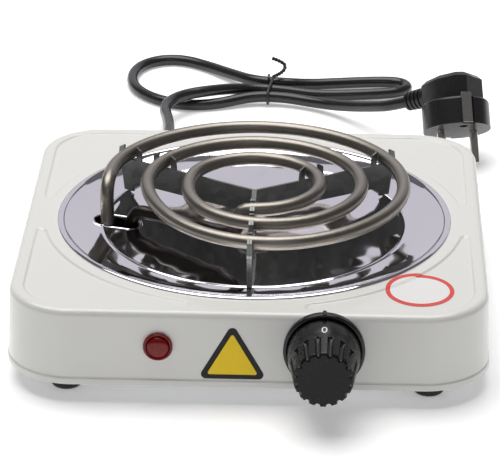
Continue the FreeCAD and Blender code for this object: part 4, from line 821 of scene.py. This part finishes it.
def on_front_wall(rows, x, low_z, proud):
    """A film's rows laid on the leaning front wall: across is X, up runs up the wall, thickness is out."""
    z = low_z + rows[..., 1]
    return np.stack([x + rows[..., 0], front_wall_y(z) - proud - rows[..., 2], z], axis=-1)


def triangle(side, height, radius):
    """Outline of a triangle with a level base and round corners."""
    return rounded_polygon([(-side / 2, 0.0), (side / 2, 0.0), (0.0, height)], radius)


TRIANGLE_X = -0.0064
TRIANGLE_Z = HEM_Z + 0.0044
label_ink = finish("label_black_ink", (0.010, 0.010, 0.009), 0.45, tint=(0.016, 0.016, 0.015), bump=0.04,
                   specular=0.25)
label_yellow = finish("label_yellow_ink", (0.90, 0.64, 0.018), 0.42, tint=(0.86, 0.60, 0.016), bump=0.05,
                      specular=0.25)
outer = flat_film(triangle(0.0320, 0.0278, 0.0023), 0.00012)
inner = flat_film(triangle(0.0236, 0.0205, 0.0008), 0.00003) + np.array([0.0, 0.00225, 0.0])
dress(grid_piece("triangle_border", on_front_wall(outer, TRIANGLE_X, TRIANGLE_Z, 0.00001), capped=True), label_ink,
      "casing", ["triangle_label"])
dress(grid_piece("triangle_field", on_front_wall(inner, TRIANGLE_X, TRIANGLE_Z, 0.00013), capped=True), label_yellow,
      "casing")

OVAL_CENTRE = (0.0791, -0.0803)
OVAL_SIZE = (0.0318, 0.0345)
OVAL_LINE = 0.0021
OVAL_FILM = 0.0001


def draped_oval(inner, outer, rings):
    """Rings between two ellipses, lying on the pressed sheet a film's thickness up, and closed below."""
    turn = np.linspace(0, 2 * np.pi, 96, endpoint=False)
    share = np.linspace(0, 1, rings)
    share = np.concatenate([share, share[::-1]])[:, None]
    x = OVAL_CENTRE[0] + (inner[0] + (outer[0] - inner[0]) * share) / 2 * np.cos(turn)
    y = OVAL_CENTRE[1] + (inner[1] + (outer[1] - inner[1]) * share) / 2 * np.sin(turn)
    z = TOP_Z - pad_drop(x, y) + 0.00001
    z[:rings] += OVAL_FILM
    return np.stack([x, y + MIDDLE_Y, z], axis=-1)


label_white = finish("label_white_film", (0.78, 0.78, 0.76), 0.35, tint=(0.74, 0.74, 0.72), bump=0.05, coat=0.3)
label_red = finish("label_red_ink", (0.68, 0.045, 0.035), 0.40, tint=(0.62, 0.04, 0.03), bump=0.05)
OVAL_FIELD = (OVAL_SIZE[0] - 2 * OVAL_LINE, OVAL_SIZE[1] - 3 * OVAL_LINE)
red_line = draped_oval(OVAL_FIELD, OVAL_SIZE, 5)
white_field = draped_oval((0.0004, 0.0004), OVAL_FIELD, 16)
dress(grid_piece("oval_line", red_line, loop=True), label_red, "casing", ["oval_label"])
dress(grid_piece("oval_film", white_field, loop=True), label_white, "casing")


# ---------------------------------------------------------------------------------------------
# The feet: four black rubber domes, each held by a screw in its recess.
# Each stands where its node stands in the frame.

def foot_profile():
    """Outline of a foot: screw recess, flat ring on the floor, rounded edge and straight side."""
    bend = np.radians(np.linspace(-90, 0, 9))
    edge = np.stack([0.0049 + 0.0026 * np.cos(bend), 0.0026 + 0.0026 * np.sin(bend)], axis=-1)
    return np.vstack([[(0.0017, 0.0049), (0.0034, 0.0049), (0.0035, 0.0003), (0.0038, 0.0)], edge,
                      [(0.0075, 0.0094), (0.0073, 0.0096), (0.0017, 0.0096)]])


foot_rubber = finish("foot_rubber_black", (0.016, 0.016, 0.016), 0.62, tint=(0.030, 0.029, 0.028), grain_scale=1600.0,
                     bump=0.25)
for node in ("foot_front_left", "foot_back_left", "foot_front_right", "foot_back_right"):
    low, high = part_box(node)
    rings = lathed(foot_profile(), 64) + np.array([(low.x + high.x) / 2, (low.y + high.y) / 2, 0.0])
    dress(grid_piece(node + "_dome", rings, loop=True), foot_rubber, "casing", [node])


# ---------------------------------------------------------------------------------------------
# The plug, its boot, pins and earth clips: a black moulding over nickel plated brass.
# They keep the CAD pieces' own shapes, with their sharp edges broken.

plug_moulding = finish("plug_moulding", (0.010, 0.010, 0.011), 0.30, tint=(0.018, 0.017, 0.018), grain_scale=1000.0,
                       bump=0.10, spread=0.08, specular=0.4)
nickel = finish("nickel_plate", (0.66, 0.645, 0.60), 0.20, metallic=1.0, tint=(0.60, 0.58, 0.53), spread=0.08,
                bump=0.04)
plug = softened("plug_body", "plug", 0.0006)
dress(plug, plug_moulding, "casing", ["plug_body"])
pins = softened("plug_pins", "pins", 0.0002)
dress(pins, nickel, "casing", ["plug_pins"])
clips = softened("plug_clips", "earth_clips", 0.0002)
dress(clips, nickel, "casing", ["plug_clips"])


# ---------------------------------------------------------------------------------------------
# The sleeve in the back wall: soft black rubber, ribbed and tapered so that the cord can't kink.

SLEEVE_LENGTH = 0.030
SLEEVE_BORE = CORD_DIAMETER / 2 + 0.0003
SLEEVE_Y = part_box("strain_relief")[1].y - SLEEVE_LENGTH


def sleeve_profile():
    """Outline along the cord: flange inside the wall, collar, then rings that get smaller, and the bore."""
    reach = np.linspace(0.0036, SLEEVE_LENGTH - 0.0004, 90)
    share = (reach - 0.0036) / (SLEEVE_LENGTH - 0.0040)
    groove = np.clip(np.sin(share * 2 * np.pi * 4.5) * 1.6, -1, 1)
    body = 0.0050 - 0.0007 * share + 0.00045 * groove
    outer = np.stack([body, reach], axis=-1)
    collar = [(SLEEVE_BORE, -0.0058), (0.0066, -0.0058), (0.0068, -0.0056), (0.0068, -0.0022), (0.0050, -0.0016),
              (0.0050, 0.0010), (0.0067, 0.0011), (0.0069, 0.0014), (0.0069, 0.0022), (0.0066, 0.0026)]
    end = [(SLEEVE_BORE + 0.0006, SLEEVE_LENGTH), (SLEEVE_BORE, SLEEVE_LENGTH - 0.0002)]
    return np.vstack([collar, outer, end])


sleeve_rubber = finish("sleeve_rubber_black", (0.017, 0.017, 0.018), 0.55, tint=(0.030, 0.030, 0.030), bump=0.2)
rings = lathed(sleeve_profile(), 64)
sleeve_points = np.stack([rings[..., 0] + CORD_EXIT[0], rings[..., 2] + SLEEVE_Y, rings[..., 1] + CORD_EXIT[2]],
                         axis=-1)
sleeve = grid_piece("cord_sleeve", sleeve_points, loop=True)
dress(sleeve, sleeve_rubber, "casing", ["strain_relief"])


# ---------------------------------------------------------------------------------------------
# The twist tie: thin steel wire in black plastic, wound round the bundle and twisted off.

TIE_RADIUS = 0.00075
TIE_FRONT = (0.2781, 0.0051)
TIE_BACK = (0.2979, 0.0065)
TIE_TOP = TIE_BACK[1] + 0.00435


def side_of_ring(centre, reach, angles):
    """Corners round one outer strand, in the plane across the bundle."""
    turn = np.radians(angles)
    return np.stack([np.zeros(len(turn)), centre[0] + reach * np.cos(turn), centre[1] + reach * np.sin(turn)], axis=-1)


def tie_ring():
    """A flat loop round the three strands that ends in the first turn of the twist."""
    reach = (CORD_DIAMETER / 2 + TIE_RADIUS + 0.0004) / math.cos(math.radians(22.5))
    back = side_of_ring(TIE_BACK, reach, (67.5, 22.5, -22.5, -67.5))
    front = side_of_ring(TIE_FRONT, reach, (247.5, 202.5, 157.5, 112.5))
    start = [(0.0, TIE_BACK[0] - 0.006, TIE_TOP)]
    end = [(0.0018, TIE_BACK[0] - 0.011, TIE_TOP + 0.0002), (0.0026, TIE_BACK[0] - 0.0065, TIE_TOP + 0.0006)]
    return spline_line(np.vstack([start, back, front, end]), 0.0006)


def twisted_tail():
    """Two strands wound round each other along the tail's line."""
    y, top = TIE_BACK[0], TIE_TOP
    line = spline_line(np.array([(0.0022, y - 0.0062, top + 0.0010), (0.0064, y - 0.0026, top + 0.0016),
                                 (0.0096, y + 0.0006, top + 0.0036), (0.0090, y + 0.0030, top + 0.0068),
                                 (0.0020, y + 0.0034, top + 0.0090)]), 0.0004)
    strands = []
    for start in (0.0, math.pi):
        ahead = np.gradient(line, axis=0)
        ahead /= np.linalg.norm(ahead, axis=1, keepdims=True)
        side = np.cross(ahead, np.array([0.0, 1.0, 0.0]))
        side /= np.linalg.norm(side, axis=1, keepdims=True)
        other = np.cross(ahead, side)
        turn = start + np.arange(len(line)) * 2 * np.pi / 9.0
        wound = line + 0.00055 * (side * np.cos(turn)[:, None] + other * np.sin(turn)[:, None])
        strands.append(tube_rings(wound, TIE_RADIUS * 0.8, 10, np.array([0.0, 1.0, 0.0])))
    return strands


tie_plastic = finish("tie_plastic", (0.014, 0.014, 0.015), 0.42, tint=(0.028, 0.028, 0.028), bump=0.15)
tie = grid_piece("tie_ring", tube_rings(tie_ring(), TIE_RADIUS, 14, np.array([1.0, 0.0, 0.0])), capped=True)
dress(tie, tie_plastic, "casing", ["twist_tie"])
tails = [grid_piece("tie_tail_%d" % k, rings, capped=True) for k, rings in enumerate(twisted_tail())]
for tail in tails:
    dress(tail, tie_plastic, "casing")


# ---------------------------------------------------------------------------------------------
# The bottom and the works: plated sheet, screws, brass, ceramic and moulded parts inside.
# Their shapes are the CAD pieces' own, and each gets the finish of its material.

zinc = finish("zinc_plate", (0.56, 0.565, 0.57), 0.34, metallic=0.95, tint=(0.48, 0.49, 0.50), tint_scale=40.0,
              grain_scale=500.0, spread=0.10, bump=0.08)
screw_steel = finish("screw_steel", (0.50, 0.50, 0.49), 0.30, metallic=1.0, tint=(0.42, 0.42, 0.42), bump=0.06)
spring_steel = finish("spring_steel", (0.40, 0.405, 0.41), 0.28, metallic=1.0, tint=(0.34, 0.34, 0.35), bump=0.05)
brass = finish("turned_brass", (0.62, 0.44, 0.19), 0.26, metallic=1.0, tint=(0.52, 0.36, 0.15), bump=0.05)
silver = finish("contact_silver", (0.78, 0.77, 0.75), 0.22, metallic=1.0, bump=0.05)
steatite = finish("steatite", (0.72, 0.69, 0.62), 0.62, tint=(0.66, 0.63, 0.57), grain_scale=1800.0, bump=0.2)
phenolic = finish("brown_phenolic", (0.055, 0.032, 0.022), 0.42, tint=(0.038, 0.024, 0.018), bump=0.12)
nylon = finish("white_nylon", (0.70, 0.69, 0.63), 0.48, tint=(0.64, 0.63, 0.58), bump=0.1)
holder = finish("holder_plastic", (0.62, 0.61, 0.58), 0.40, tint=(0.56, 0.55, 0.53), bump=0.1)
bulb_glass = finish("bulb_glass", (0.75, 0.72, 0.66), 0.08, spread=0.03, bump=0.01)
bulb_glass.node_tree.nodes["Principled BSDF"].inputs["Transmission Weight"].default_value = 0.8
lead_cloth = finish("lead_sleeve", (0.66, 0.64, 0.58), 0.8, tint=(0.58, 0.56, 0.50), grain_scale=2400.0, bump=0.4)
bright_sheet = finish("bright_sheet", (0.74, 0.74, 0.75), 0.22, metallic=1.0, tint=(0.68, 0.68, 0.69), bump=0.04)
brown_silicone = finish("brown_silicone", (0.13, 0.055, 0.025), 0.5, tint=(0.10, 0.045, 0.02), bump=0.12)
blue_silicone = finish("blue_silicone", (0.03, 0.09, 0.32), 0.5, tint=(0.025, 0.075, 0.27), bump=0.12)
green_silicone = finish("green_silicone", (0.14, 0.30, 0.04), 0.5, tint=(0.30, 0.34, 0.03), tint_scale=240.0,
                        bump=0.12)

works = {
    zinc: ("base_plate", "fixing_lugs", "mounting_bracket"),
    screw_steel: ("base_screws", "foot_screws", "pivot_pin", "bush_nut", "block_screws"),
    spring_steel: ("pan_clips", "knob_clip", "cam_follower", "bimetal_blade", "lamp_clip"),
    brass: ("regulator_shaft", "shaft_bush", "fixed_contact", "live_terminal", "earth_screw"),
    silver: ("moving_contact",),
    steatite: ("coil_beads", "terminal_block"),
    nickel: ("coil_pins",),
    phenolic: ("regulator_case", "regulator_cover"),
    nylon: ("regulator_cam",),
    holder: ("lamp_housing",),
    bulb_glass: ("lamp_bulb",),
    lead_cloth: ("lamp_leads",),
    bright_sheet: ("heat_shield",),
    brown_silicone: ("live_wire", "coil_wire"),
    blue_silicone: ("neutral_wire",),
    green_silicone: ("earth_wire",),
}
for material, names in works.items():
    for name in names:
        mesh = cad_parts[name].data
        mesh.materials.clear()
        mesh.materials.append(material)

bpy.context.view_layer.update()
